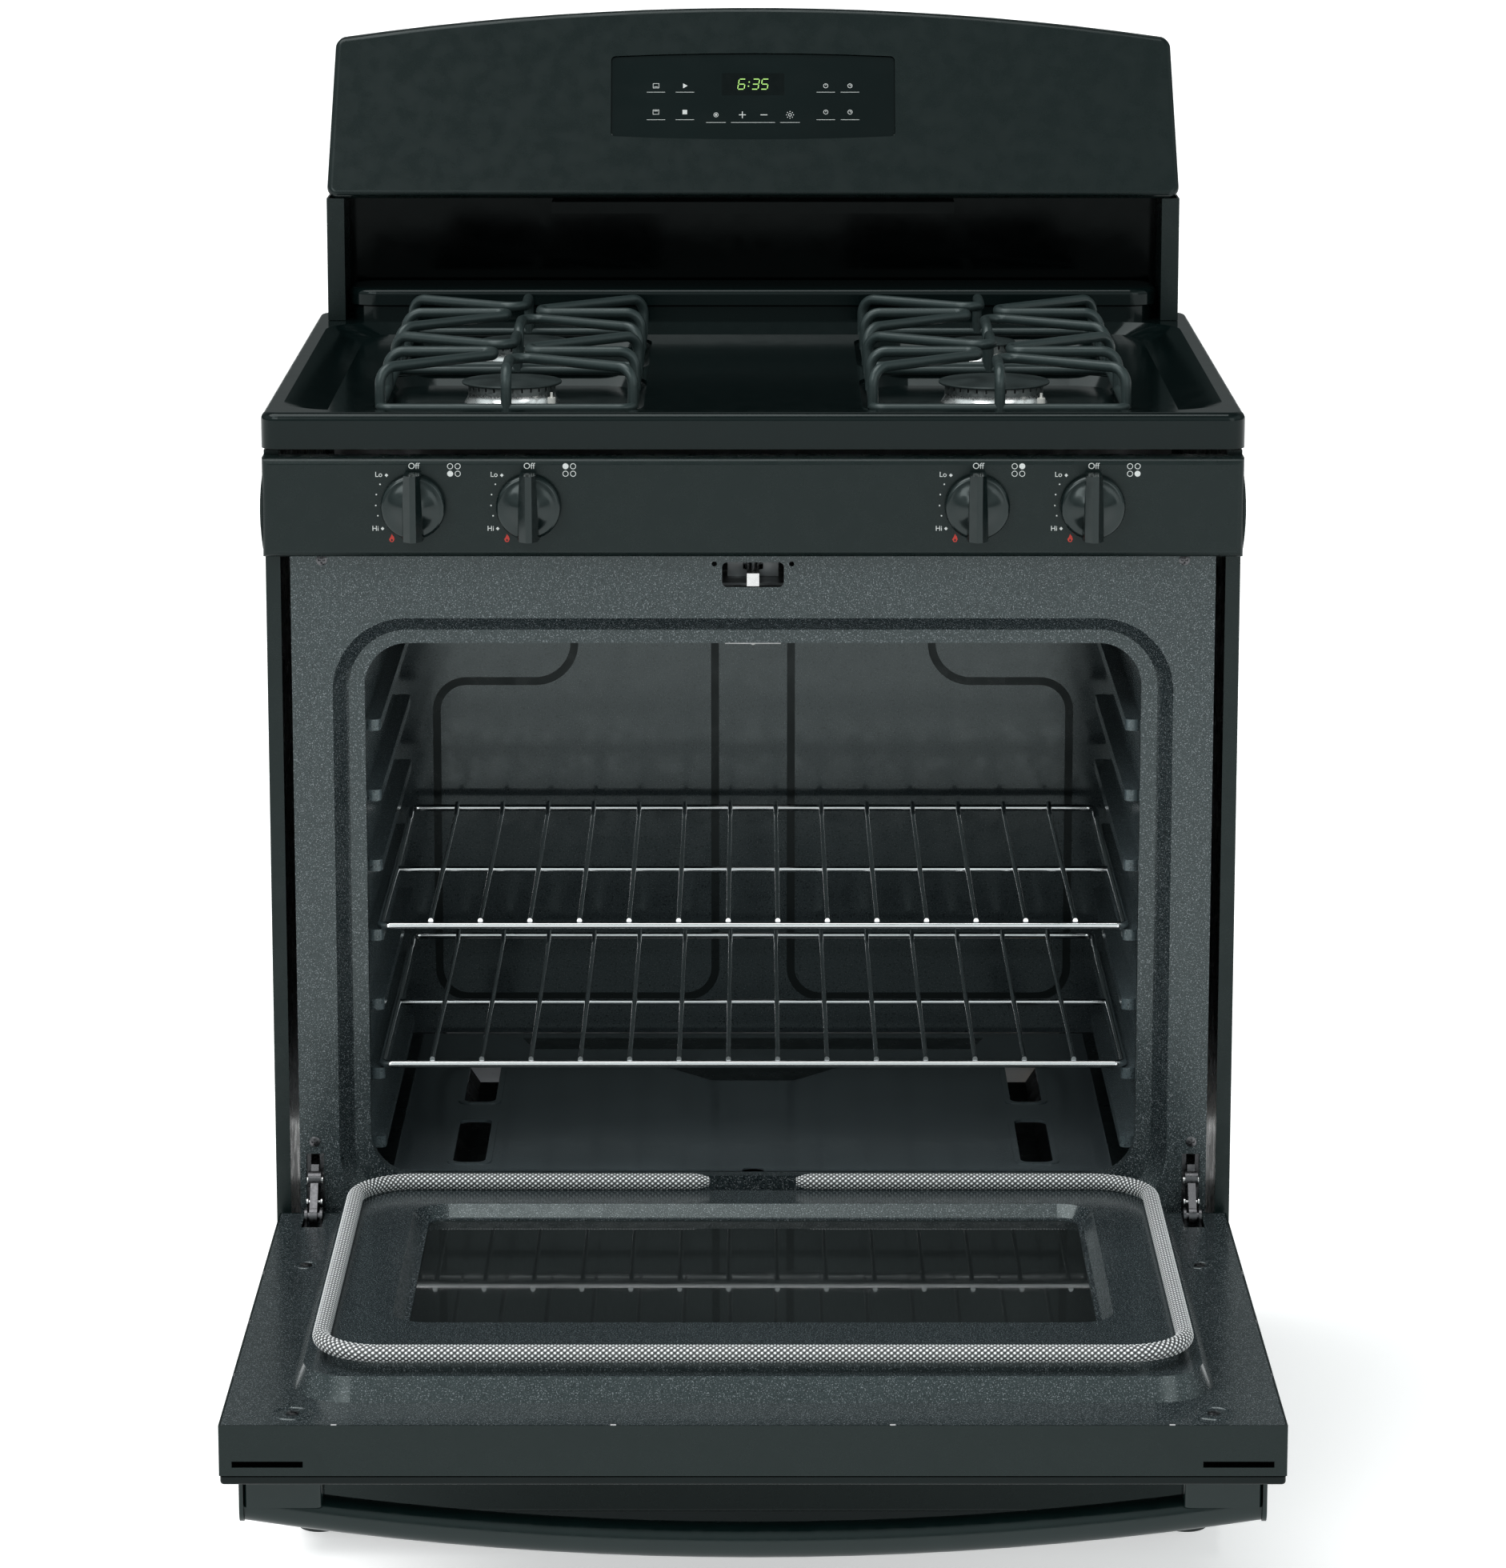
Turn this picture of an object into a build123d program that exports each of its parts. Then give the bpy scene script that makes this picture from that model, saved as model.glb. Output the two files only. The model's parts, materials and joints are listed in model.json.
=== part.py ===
from build123d import *

import os
from math import cos, radians, sin, tan

# Freestanding 30-inch gas range with its oven door open.
# X runs to the right, Y to the back and Z up; the origin is on the floor, under the
# middle of the range as it stands with the oven door open.

# ---- driving dimensions, mm ----
cooktop_width = 760
cabinet_width = 756
cabinet_depth = 635
cooktop_height = 914
total_height = 1178
sheet = 1.5
gap = 0.4

# oven door, lying open
door_reach = 545  # from the front frame to the far edge of the open door
hinge_out = 23  # hinge pivot, in front of the front frame
hinge_height = 276
door_near = 9  # hinge-side edge of the open door, in front of the front frame
door_face = 275  # flange of the inner panel of the open door
door_under = 231  # outer glass of the open door
door_width = 750

front = (door_reach - cabinet_depth) / 2
back = front + cabinet_depth
pivot_y = front - hinge_out

# oven mouth and cavity
mouth_width = 607
mouth_low, mouth_high = 299, 730
mouth_radius = 34
recess = 14  # depth of the gasket seat round the mouth
cavity_width = 612
cavity_low, cavity_high = 293, 748
cavity_back = 505
frame_low, frame_high = 226, 803

# hob
floor_height = 904
well_height = 896
burner_x = 193
burner_rows = {"front": 172, "rear": 420}
cap_diameter = {
    ("left", "front"): 80,
    ("right", "front"): 89,
    ("left", "rear"): 76,
    ("right", "rear"): 56,
}
grate_half_width, grate_half_depth = 99, 110
grate_rail, grate_rod = 7, 8.4
grate_top = 938
grate_base = floor_height + gap + grate_rail / 2

# control panel
panel_low, panel_high = 804, 881
panel_out = 24
knob_x = (-261.3, -172.6, 172.6, 261.3)
knob_height = 844
knob_travel = 3

# racks
rack_levels = {"lower": 381.5, "upper": 495}
guide_pitch = (rack_levels["upper"] - rack_levels["lower"]) / 2
rack_half_width = 296
rack_front, rack_rear = 50, 470
rack_frame_wire = 6
rack_wire = 4

# storage drawer
drawer_low, drawer_high = 38, 225
drawer_out = 45

sides = {"left": -1, "right": 1}

os.makedirs("parts", exist_ok=True)


def deep(distance):
    """Y of a plane that far behind the front frame."""
    return front + distance


def rod(points, radii, diameter):
    """A bent round rod along a path of straight runs and arcs."""
    with BuildPart(mode=Mode.PRIVATE) as bent:
        with BuildLine() as path:
            FilletPolyline(*points, radius=radii)
        with BuildSketch(path.line ^ 0):
            Circle(diameter / 2)
        sweep(transition=Transition.ROUND)
    return bent.part


# ---- cabinet ----
for side, sign in sides.items():
    skin_x = sign * (cabinet_width / 2 - sheet / 2)
    front_flange, back_flange = 11.4, 24
    with BuildPart() as side_panel:
        with BuildSketch(Plane.XY.offset(38)):
            with Locations((skin_x, deep(cabinet_depth / 2))):
                Rectangle(sheet, cabinet_depth)
            with Locations((sign * (cabinet_width - front_flange) / 2, deep(sheet / 2))):
                Rectangle(front_flange, sheet)
            with Locations((sign * (cabinet_width - back_flange) / 2, back - sheet / 2)):
                Rectangle(back_flange, sheet)
        extrude(amount=846)
    side_panel.part.label = f"side_panel_{side}"
    export_step(side_panel.part, f"parts/side_panel_{side}.step")

# the space below the rear panel is left open for the gas line and the cord
rear_low, rear_high = 176, 882
with BuildPart() as rear_panel:
    with Locations((0, back - 1.5 * sheet, (rear_low + rear_high) / 2)):
        Box(740, sheet, rear_high - rear_low)
    with Locations((0, back, 700)):
        with GridLocations(120, 1, 5, 1):
            Box(90, 10, 3, mode=Mode.SUBTRACT)
    with Locations((0, back, 715), (0, back, 730), (0, back, 745)):
        with GridLocations(120, 1, 5, 1):
            Box(90, 10, 3, mode=Mode.SUBTRACT)
rear_panel.part.label = "rear_panel"
export_step(rear_panel.part, "parts/rear_panel.step")

base_low = 24
with BuildPart() as base_frame:
    with BuildSketch(Plane.XY.offset(base_low)):
        with Locations((0, deep(318))):
            Rectangle(748, 620)
            Rectangle(690, 560, mode=Mode.SUBTRACT)
    extrude(amount=2)
    with BuildSketch(Plane.XY.offset(base_low)):
        with Locations((0, deep(318))):
            Rectangle(748, 620)
            Rectangle(744, 616, mode=Mode.SUBTRACT)
    extrude(amount=28)
base_frame.part.label = "base_frame"
export_step(base_frame.part, "parts/base_frame.step")

with BuildPart() as leveling_feet:
    with Locations(*[(x, deep(y), 0) for x in (-350, 350) for y in (34, 602)]):
        Cylinder(17, 8, align=(Align.CENTER, Align.CENTER, Align.MIN))
        Cylinder(8, base_low, align=(Align.CENTER, Align.CENTER, Align.MIN))
leveling_feet.part.label = "leveling_feet"
export_step(leveling_feet.part, "parts/leveling_feet.step")

# ---- front frame with its recessed gasket seat ----
mouth_height = mouth_high - mouth_low
mouth_mid = (mouth_high + mouth_low) / 2
seat_half = 327.5
seat_low, seat_high = 265, 752
hinge_x = 347
slot_low, slot_high = 273, 321
frame_plane = Plane((0, front, 0), x_dir=(1, 0, 0), z_dir=(0, -1, 0))


def seat_solid(grow, reach):
    """The pocket pressed round the oven mouth, from the front to a given depth."""
    slope = 11.5 / recess
    with BuildPart(mode=Mode.PRIVATE) as pocket:
        for depth, half, low, high, radius in (
            (0, seat_half + grow, seat_low - grow, seat_high + grow, 58),
            (reach, seat_half + grow - slope * reach, seat_low - grow + slope * reach,
             seat_high + grow - slope * reach, 46),
        ):
            with BuildSketch(frame_plane.offset(-depth)):
                with Locations((0, (low + high) / 2)):
                    RectangleRounded(2 * half, high - low, radius)
        loft()
    return pocket.part


with BuildPart() as oven_front_frame:
    with BuildSketch(frame_plane):
        with Locations((0, (frame_low + frame_high) / 2)):
            Rectangle(718, frame_high - frame_low)
    extrude(amount=-sheet)
    add(seat_solid(2, recess + sheet))
    add(seat_solid(0, recess), mode=Mode.SUBTRACT)
    with BuildSketch(frame_plane):
        with Locations((0, mouth_mid)):
            RectangleRounded(mouth_width, mouth_height, mouth_radius)
    extrude(amount=-40, mode=Mode.SUBTRACT)
    with BuildSketch(frame_plane.offset(-recess)):
        with Locations((0, mouth_mid)):
            RectangleRounded(mouth_width + 2 * sheet, mouth_height + 2 * sheet, mouth_radius + sheet)
            RectangleRounded(mouth_width, mouth_height, mouth_radius, mode=Mode.SUBTRACT)
    extrude(amount=-12)
    with BuildSketch(frame_plane):
        with Locations((-hinge_x, (slot_low + slot_high) / 2), (hinge_x, (slot_low + slot_high) / 2)):
            Rectangle(14, slot_high - slot_low)
        with Locations((0, 786.3)):
            RectangleRounded(48, 19.5, 4)
        with Locations((-30, 794.8), (30, 794.8)):
            Circle(2)
    extrude(amount=-3, mode=Mode.SUBTRACT)
oven_front_frame.part.label = "oven_front_frame"
export_step(oven_front_frame.part, "parts/oven_front_frame.step")

with BuildPart() as front_frame_screws:
    with BuildSketch(frame_plane):
        with Locations((-334.5, 798), (334.5, 798), (-347, 331), (347, 331)):
            Circle(4.2)
    extrude(amount=1.8)
    fillet(front_frame_screws.faces().sort_by(Axis.Y)[0:4].edges(), 0.8)
front_frame_screws.part.label = "front_frame_screws"
export_step(front_frame_screws.part, "parts/front_frame_screws.step")

# ---- oven cavity ----
liner_front = recess + sheet + gap
guide_count = 7
guide_first = rack_levels["lower"] - guide_pitch
guide_height = 9
guide_drop = rack_frame_wire / 2 + gap
with BuildPart() as oven_side_walls:
    for sign in sides.values():
        wall_x = sign * (cavity_width + sheet) / 2
        with Locations((wall_x, deep((liner_front + cavity_back) / 2), (cavity_low + cavity_high) / 2)):
            Box(sheet, cavity_back - liner_front, cavity_high - cavity_low)
        for step in range(guide_count):
            top = guide_first + step * guide_pitch - guide_drop
            with BuildPart(mode=Mode.PRIVATE) as guide:
                with Locations((sign * (cavity_width / 2 - 6), deep(250), top - guide_height / 2)):
                    Box(12, 400, guide_height)
                fillet(guide.edges().filter_by(Axis.Z), 5)
            add(guide.part)
oven_side_walls.part.label = "oven_side_walls"
export_step(oven_side_walls.part, "parts/oven_side_walls.step")

with BuildPart() as oven_ceiling:
    with Locations((0, deep((liner_front + cavity_back) / 2), cavity_high + sheet / 2)):
        Box(cavity_width + 2 * sheet, cavity_back - liner_front, sheet)
oven_ceiling.part.label = "oven_ceiling"
export_step(oven_ceiling.part, "parts/oven_ceiling.step")

back_plane = Plane((0, deep(cavity_back), 0), x_dir=(1, 0, 0), z_dir=(0, -1, 0))
loop_width = 7
light_x, light_z, light_radius = 262, 712, 38
with BuildPart() as oven_back_wall:
    with BuildSketch(back_plane):
        with Locations((0, (cavity_low + cavity_high) / 2)):
            Rectangle(cavity_width + 2 * sheet, cavity_high - cavity_low + 2 * sheet)
        with Locations((light_x, light_z)):
            Circle(20, mode=Mode.SUBTRACT)
    extrude(amount=-2 * sheet)
    for sign in sides.values():
        with BuildLine(back_plane) as loop:
            FilletPolyline(
                (sign * 155, 748),
                (sign * 155, 606),
                (sign * 275, 606),
                (sign * 275, 324),
                (sign * 33, 324),
                (sign * 33, 748),
                radius=[34, 26, 26, 26],
            )
        with BuildSketch(loop.line ^ 0):
            Rectangle(loop_width, 2)
        sweep(mode=Mode.SUBTRACT)
oven_back_wall.part.label = "oven_back_wall"
export_step(oven_back_wall.part, "parts/oven_back_wall.step")

floor_top = cavity_low
with BuildPart() as oven_floor_panel:
    with BuildSketch(Plane.XY.offset(floor_top - sheet)):
        with Locations((0, deep(274))):
            Rectangle(578, 440)
        for sign in sides.values():
            with Locations((sign * 229, deep(138)), (sign * 229, deep(325))):
                RectangleRounded(26, 130, 8, mode=Mode.SUBTRACT)
        with Locations((0, deep(52))):
            Circle(9, mode=Mode.SUBTRACT)
    extrude(amount=sheet)
oven_floor_panel.part.label = "oven_floor_panel"
export_step(oven_floor_panel.part, "parts/oven_floor_panel.step")

pan_low = 246
with BuildPart() as oven_base_pan:
    with BuildSketch(Plane.XZ.offset(-deep(cavity_back))):
        with BuildLine():
            Polyline(
                (-306, cavity_low - sheet - 0.1),
                (-270, cavity_low - sheet - 0.1),
                (-240, pan_low),
                (240, pan_low),
                (270, cavity_low - sheet - 0.1),
                (306, cavity_low - sheet - 0.1),
                (306, cavity_low - 2 * sheet - 0.1),
                (271, cavity_low - 2 * sheet - 0.1),
                (241, pan_low - sheet),
                (-241, pan_low - sheet),
                (-271, cavity_low - 2 * sheet - 0.1),
                (-306, cavity_low - 2 * sheet - 0.1),
                close=True,
            )
        make_face()
    extrude(amount=cavity_back - 30)
oven_base_pan.part.label = "oven_base_pan"
export_step(oven_base_pan.part, "parts/oven_base_pan.step")

with BuildPart() as bake_burner:
    with BuildSketch(Plane.XZ.offset(-deep(470))):
        with Locations((0, 272)):
            RectangleRounded(70, 16, 6)
            RectangleRounded(66, 12, 4, mode=Mode.SUBTRACT)
    extrude(amount=400)
    with BuildSketch(Plane.XZ.offset(-deep(474))):
        with Locations((0, 272)):
            RectangleRounded(70, 16, 6)
    extrude(amount=4)
    with Locations((0, deep(495), 272)):
        Cylinder(9, 50, rotation=(90, 0, 0))
bake_burner.part.label = "bake_burner"
export_step(bake_burner.part, "parts/bake_burner.step")

with BuildPart() as broil_burner:
    with BuildSketch(Plane.XZ.offset(-deep(504))):
        with BuildLine():
            Polyline((-34, 747.5), (34, 747.5), (34, 734), (19, 728), (0, 719), (-19, 728),
                     (-34, 734), close=True)
        make_face()
        with Locations((0, 737)):
            Rectangle(42, 12, mode=Mode.SUBTRACT)
    extrude(amount=440)
    with BuildSketch(Plane.XZ.offset(-deep(66))):
        with Locations((0, 733)):
            Rectangle(44, 26)
    extrude(amount=2)
broil_burner.part.label = "broil_burner"
export_step(broil_burner.part, "parts/broil_burner.step")

with BuildPart() as oven_light_lens:
    with BuildSketch(back_plane):
        with Locations((light_x, light_z)):
            Circle(30)
    extrude(amount=3)
    with BuildSketch(back_plane.offset(3)):
        with Locations((light_x, light_z)):
            Circle(26)
    extrude(amount=14, taper=24)
    fillet(oven_light_lens.faces().sort_by(Axis.Y)[0].edges(), 4)
oven_light_lens.part.label = "oven_light_lens"
export_step(oven_light_lens.part, "parts/oven_light_lens.step")

with BuildPart() as temperature_sensor:
    with BuildSketch(back_plane):
        with Locations((178, 722)):
            RectangleRounded(34, 16, 5)
    extrude(amount=2)
    with BuildSketch(back_plane):
        with Locations((178, 722)):
            Circle(3)
    extrude(amount=60)
    fillet(temperature_sensor.faces().sort_by(Axis.Y)[0].edges(), 2)
temperature_sensor.part.label = "temperature_sensor"
export_step(temperature_sensor.part, "parts/temperature_sensor.step")

# ---- door hinges: receivers and arms stay on the cabinet ----
pin_radius = 4
eye_radius = 9
arm_thick = 6
with BuildPart() as door_hinges:
    for sign in sides.values():
        with Locations((sign * hinge_x, deep(sheet + 36), (slot_low + slot_high) / 2)):
            Box(22, 70, slot_high - slot_low + 14)
            Box(arm_thick + 1, 80, slot_high - slot_low, mode=Mode.SUBTRACT)
        arm_plane = Plane((sign * hinge_x - arm_thick / 2, 0, 0), x_dir=(0, 1, 0), z_dir=(1, 0, 0))
        with BuildSketch(arm_plane):
            with BuildLine():
                Polyline(
                    (pivot_y - 5, hinge_height + 7),
                    (pivot_y + 5, hinge_height - 7),
                    (deep(1), slot_low + 2),
                    (deep(60), slot_low + 2),
                    (deep(60), slot_high - 8),
                    (deep(-3), slot_high - 8),
                    (deep(-8), slot_high - 16),
                    close=True,
                )
            make_face()
            with Locations((pivot_y, hinge_height)):
                Circle(eye_radius)
                Circle(pin_radius + 0.05, mode=Mode.SUBTRACT)
        extrude(amount=arm_thick)
        with BuildSketch(arm_plane.offset(-2)):
            with Locations((deep(-6), slot_high - 19)):
                Circle(6.5)
        extrude(amount=arm_thick + 4)
door_hinges.part.label = "door_hinges"
export_step(door_hinges.part, "parts/door_hinges.step")

# ---- oven door, open ----
near_y = deep(-door_near)
far_y = deep(-door_reach)
door_mid = (near_y + far_y) / 2
door_length = near_y - far_y
skin = 1.2
glass_thick = 6
shell_low = door_under + glass_thick + 1
vent_z = 246.4
with BuildPart() as door_outer_shell:
    with BuildSketch(Plane.XY.offset(shell_low)):
        with Locations((0, door_mid)):
            Rectangle(door_width, door_length)
    extrude(amount=door_face - shell_low)
    with BuildSketch(Plane.XY.offset(shell_low + skin)):
        with Locations((0, door_mid)):
            Rectangle(door_width - 2 * skin, door_length - 2 * skin)
    extrude(amount=60, mode=Mode.SUBTRACT)
    with BuildSketch(Plane.XY.offset(shell_low - 1)):
        with Locations((0, door_mid)):
            Rectangle(520, 330)
    extrude(amount=10, mode=Mode.SUBTRACT)
    for sign in sides.values():
        with Locations((sign * 341, far_y, vent_z)):
            Box(50, 6, 4.5, mode=Mode.SUBTRACT)
        with Locations((sign * hinge_x, near_y, door_face)):
            Box(16, 10, 60, mode=Mode.SUBTRACT)
    with Locations((0, near_y - 40, shell_low)):
        with GridLocations(70, 1, 7, 1):
            Box(50, 5, 10, mode=Mode.SUBTRACT)
door_outer_shell.part.label = "door_outer_shell"
export_step(door_outer_shell.part, "parts/door_outer_shell.step")

with BuildPart() as door_front_panel:
    with BuildSketch(Plane.XY.offset(door_under)):
        with Locations((0, door_mid)):
            Rectangle(door_width - 1, door_length - 1)
    extrude(amount=glass_thick)
    fillet(door_front_panel.edges().filter_by(Axis.Z), 3)
    fillet(door_front_panel.faces().sort_by(Axis.Z)[0].edges(), 2.5)
    with BuildSketch(Plane.XY.offset(door_under - 1)):
        with Locations((0, door_mid + 25)):
            RectangleRounded(470, 250, 8)
    extrude(amount=20, mode=Mode.SUBTRACT)
door_front_panel.part.label = "door_front_panel"
export_step(door_front_panel.part, "parts/door_front_panel.step")

with BuildPart() as door_outer_glass:
    with BuildSketch(Plane.XY.offset(door_under + 1.5)):
        with Locations((0, door_mid + 25)):
            RectangleRounded(469, 249, 7.5)
    extrude(amount=4)
door_outer_glass.part.label = "door_outer_glass"
export_step(door_outer_glass.part, "parts/door_outer_glass.step")

plateau = 17
field = 25  # inner field above the flange
taper_angle = 25
plateau_near, plateau_far = -14, -493
field_near, field_far = -32, -472
window_near, window_far = -70, -382
window_half = 264
press = 9  # depth of the window recess


def door_rect(half, near, far, radius):
    """A rounded rectangle lying on the open door, by its two edges' distances."""
    with Locations((0, deep((near + far) / 2))):
        RectangleRounded(2 * half, near - far, radius)


def door_bulge(lower):
    """The raised middle of the inner panel, lowered by the sheet's thickness."""
    with BuildPart(mode=Mode.PRIVATE) as bulge:
        with BuildSketch(Plane.XY.offset(door_face - lower)):
            door_rect(330 - lower, plateau_near - lower, plateau_far + lower, 44)
        extrude(amount=plateau, taper=taper_angle)
        with BuildSketch(Plane.XY.offset(door_face - lower)):
            door_rect(306 - lower, field_near - lower, field_far + lower, 38)
        extrude(amount=field)
    return bulge.part


inset = press * tan(radians(41))
with BuildPart() as door_inner_panel:
    with BuildSketch(Plane.XY.offset(door_face - skin)):
        with Locations((0, door_mid)):
            Rectangle(door_width - 2 * skin - 0.6, door_length - 2 * skin - 0.6)
    extrude(amount=skin)
    add(door_bulge(0))
    add(door_bulge(skin), mode=Mode.SUBTRACT)
    with BuildSketch(Plane.XY.offset(door_face + field - press - skin)):
        door_rect(window_half - inset + skin, window_near - inset + skin, window_far + inset - skin, 20)
    extrude(amount=press, taper=-41)
    with BuildSketch(Plane.XY.offset(door_face + field - press)):
        door_rect(window_half - inset, window_near - inset, window_far + inset, 19)
    extrude(amount=press + 1, taper=-41, mode=Mode.SUBTRACT)
    with BuildSketch(Plane.XY.offset(door_face + field - press - 5)):
        door_rect(window_half - inset - 4, window_near - inset - 4, window_far + inset + 4, 15)
    extrude(amount=10, mode=Mode.SUBTRACT)
    for sign in sides.values():
        with Locations((sign * hinge_x, deep(-29), door_face)):
            Box(16, 42, 10, mode=Mode.SUBTRACT)
        with Locations((sign * 343, deep(-154), door_face), (sign * 325, deep(-518), door_face)):
            Cylinder(2.2, 10, mode=Mode.SUBTRACT)
door_inner_panel.part.label = "door_inner_panel"
export_step(door_inner_panel.part, "parts/door_inner_panel.step")

with BuildPart() as door_inner_glass:
    with BuildSketch(Plane.XY.offset(door_face + field - press - skin - 4)):
        door_rect(window_half - 2, window_near - 2, window_far + 2, 16)
    extrude(amount=4)
door_inner_glass.part.label = "door_inner_glass"
export_step(door_inner_glass.part, "parts/door_inner_glass.step")

gasket_half, gasket_near, gasket_far = 310.5, -28, -476
gasket_radius = 6.5
gasket_z = 306
gasket_corner = 46
with BuildPart() as door_gasket:
    with BuildLine() as gasket_path:
        FilletPolyline(
            (34, deep(gasket_near), gasket_z),
            (gasket_half, deep(gasket_near), gasket_z),
            (gasket_half, deep(gasket_far), gasket_z),
            (-gasket_half, deep(gasket_far), gasket_z),
            (-gasket_half, deep(gasket_near), gasket_z),
            (-34, deep(gasket_near), gasket_z),
            radius=gasket_corner,
        )
    with BuildSketch(gasket_path.line ^ 0):
        Circle(gasket_radius)
    sweep()
door_gasket.part.label = "door_gasket"
export_step(door_gasket.part, "parts/door_gasket.step")

with BuildPart() as door_screws:
    for sign in sides.values():
        with Locations((sign * 343, deep(-154), door_face), (sign * 325, deep(-518), door_face)):
            Cylinder(4.5, 2, align=(Align.CENTER, Align.CENTER, Align.MIN))
    fillet(door_screws.edges().group_by(Axis.Z)[-1], 1)
door_screws.part.label = "door_screws"
export_step(door_screws.part, "parts/door_screws.step")

with BuildPart() as hinge_pins:
    for sign in sides.values():
        with Locations((sign * hinge_x, pivot_y, hinge_height)):
            Cylinder(pin_radius, 14, rotation=(0, 90, 0))
        for cheek in (-1, 1):
            cheek_plane = Plane((sign * hinge_x + cheek * 6, 0, 0), x_dir=(0, 1, 0), z_dir=(1, 0, 0))
            with BuildSketch(cheek_plane):
                with Locations((pivot_y, hinge_height)):
                    Circle(7)
                with Locations((pivot_y - 22, hinge_height - 19)):
                    Rectangle(60, 28)
                with Locations((pivot_y, hinge_height - 5)):
                    Rectangle(14, 10)
            extrude(amount=1, both=True)
hinge_pins.part.label = "hinge_pins"
export_step(hinge_pins.part, "parts/hinge_pins.step")

# bowed handle under the open door
handle_y = deep(-503)
handle_half = 361
bar_end_z, bar_mid_z = 205, 176.5
bar_size = 26
with BuildPart() as door_handle_bar:
    with BuildLine() as bow:
        ThreePointArc(
            (-handle_half, handle_y, bar_end_z),
            (0, handle_y, bar_mid_z),
            (handle_half, handle_y, bar_end_z),
        )
    with BuildSketch(bow.line ^ 0):
        Ellipse(bar_size / 2, bar_size / 2 - 2)
    sweep()
door_handle_bar.part.label = "door_handle_bar"
export_step(door_handle_bar.part, "parts/door_handle_bar.step")

with BuildPart() as door_handle_brackets:
    for sign in sides.values():
        with BuildSketch(Plane.XY.offset(door_under)):
            with Locations((sign * (handle_half - 28), handle_y)):
                RectangleRounded(56, 29, 5)
        extrude(amount=-26)
        with BuildSketch(Plane.YZ.offset(sign * handle_half)):
            with Locations((handle_y, (door_under + bar_end_z - bar_size / 2) / 2)):
                RectangleRounded(29, door_under - bar_end_z + bar_size / 2, 11)
            with Locations((handle_y, door_under - 6)):
                Rectangle(29, 12)
        extrude(amount=sign * 3)
    add(door_handle_bar.part, mode=Mode.SUBTRACT)
# the bar runs through each post, so only the half above it is kept
post_top = door_under - 1
posts = door_handle_brackets.part.solids().filter_by(lambda post: post.bounding_box().max.Z > post_top)
door_handle_brackets = Compound(label="door_handle_brackets", children=posts)
export_step(door_handle_brackets, "parts/door_handle_brackets.step")

# ---- hob ----
rim_corner = 14
ledge_front, hob_back = 553, 622
ledge_height = 942
ledge_half = 350
lip_low, lip_out = 928, 3
hob_low = 886
well_half_width, well_half_depth = 108, 112


def hob_body(inset):
    """The pressed top's outer form, made smaller all round by the sheet's thickness."""
    with BuildPart(mode=Mode.PRIVATE) as body:
        with BuildSketch(Plane.XY.offset(hob_low - inset)):
            with Locations((0, deep((hob_back - 10) / 2))):
                RectangleRounded(cooktop_width - 2 * inset, hob_back + 10 - 2 * inset, rim_corner - inset)
        extrude(amount=cooktop_height - hob_low)
        fillet(body.edges().group_by(Axis.Z)[-1], 6 - inset)
        for low, high, out in (hob_low, ledge_height - 1, 0), (lip_low, ledge_height, lip_out):
            with BuildSketch(Plane.XY.offset(low - inset)):
                with Locations((0, deep((ledge_front + lip_out - out + hob_back) / 2))):
                    RectangleRounded(
                        2 * (ledge_half - lip_out + out - inset),
                        hob_back - ledge_front - lip_out + out - 2 * inset,
                        24 - inset,
                    )
            extrude(amount=high - low)
        fillet(body.edges().group_by(Axis.Z)[-1], 5 - inset)
    return body.part


def hob_pocket(extra):
    """The sunken floor and the four burner wells, made larger by the sheet's thickness."""
    with BuildPart(mode=Mode.PRIVATE) as pocket:
        for height, half, near, far, radius in (
            (floor_height, 334, 40, 541, 24),
            (cooktop_height + 0.3, 367, 7, 547, 50),
        ):
            with BuildSketch(Plane.XY.offset(height - extra)):
                with Locations((0, deep((near + far) / 2))):
                    RectangleRounded(2 * half + 2 * extra, far - near + 2 * extra, radius + extra)
        loft()
        for sign in sides.values():
            for row in burner_rows.values():
                with BuildSketch(Plane.XY.offset(well_height - extra)):
                    with Locations((sign * burner_x, deep(row))):
                        RectangleRounded(
                            2 * (well_half_width - 8 + extra), 2 * (well_half_depth - 8 + extra), 34
                        )
                extrude(amount=floor_height - well_height + 0.01, taper=-40)
    return pocket.part


with BuildPart() as cooktop:
    add(hob_body(0))
    add(hob_pocket(0), mode=Mode.SUBTRACT)
    add(hob_body(sheet) - hob_pocket(sheet), mode=Mode.SUBTRACT)
    for sign in sides.values():
        with Locations(*[(sign * burner_x, deep(row), well_height) for row in burner_rows.values()]):
            Cylinder(22, 20, mode=Mode.SUBTRACT)
cooktop.part.label = "cooktop"
export_step(cooktop.part, "parts/cooktop.step")

skirt_low, ring_low, cap_low = well_height, 906, 912.5
burner_places = [
    (sides[side] * burner_x, deep(burner_rows[row]), cap_diameter[side, row] / 2)
    for side in sides
    for row in burner_rows
]
with BuildPart() as burner_bases:
    for x, y, radius in burner_places:
        with BuildSketch(Plane((x, y, 0), x_dir=(1, 0, 0), z_dir=(0, -1, 0))):
            with BuildLine():
                Line((10, 880), (21, 880))
                Line((21, 880), (21, skirt_low + gap))
                Line((21, skirt_low + gap), (radius - 2, skirt_low + gap))
                Line((radius - 2, skirt_low + gap), (radius - 2, skirt_low + 2))
                Spline((radius - 2, skirt_low + 2), (radius - 4.6, skirt_low + 6), (radius - 5, ring_low))
                Line((radius - 5, ring_low), (10, ring_low))
                Line((10, ring_low), (10, 880))
            make_face()
        revolve(axis=Axis((x, y, 0), (0, 0, 1)))
burner_bases.part.label = "burner_bases"
export_step(burner_bases.part, "parts/burner_bases.step")

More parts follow.
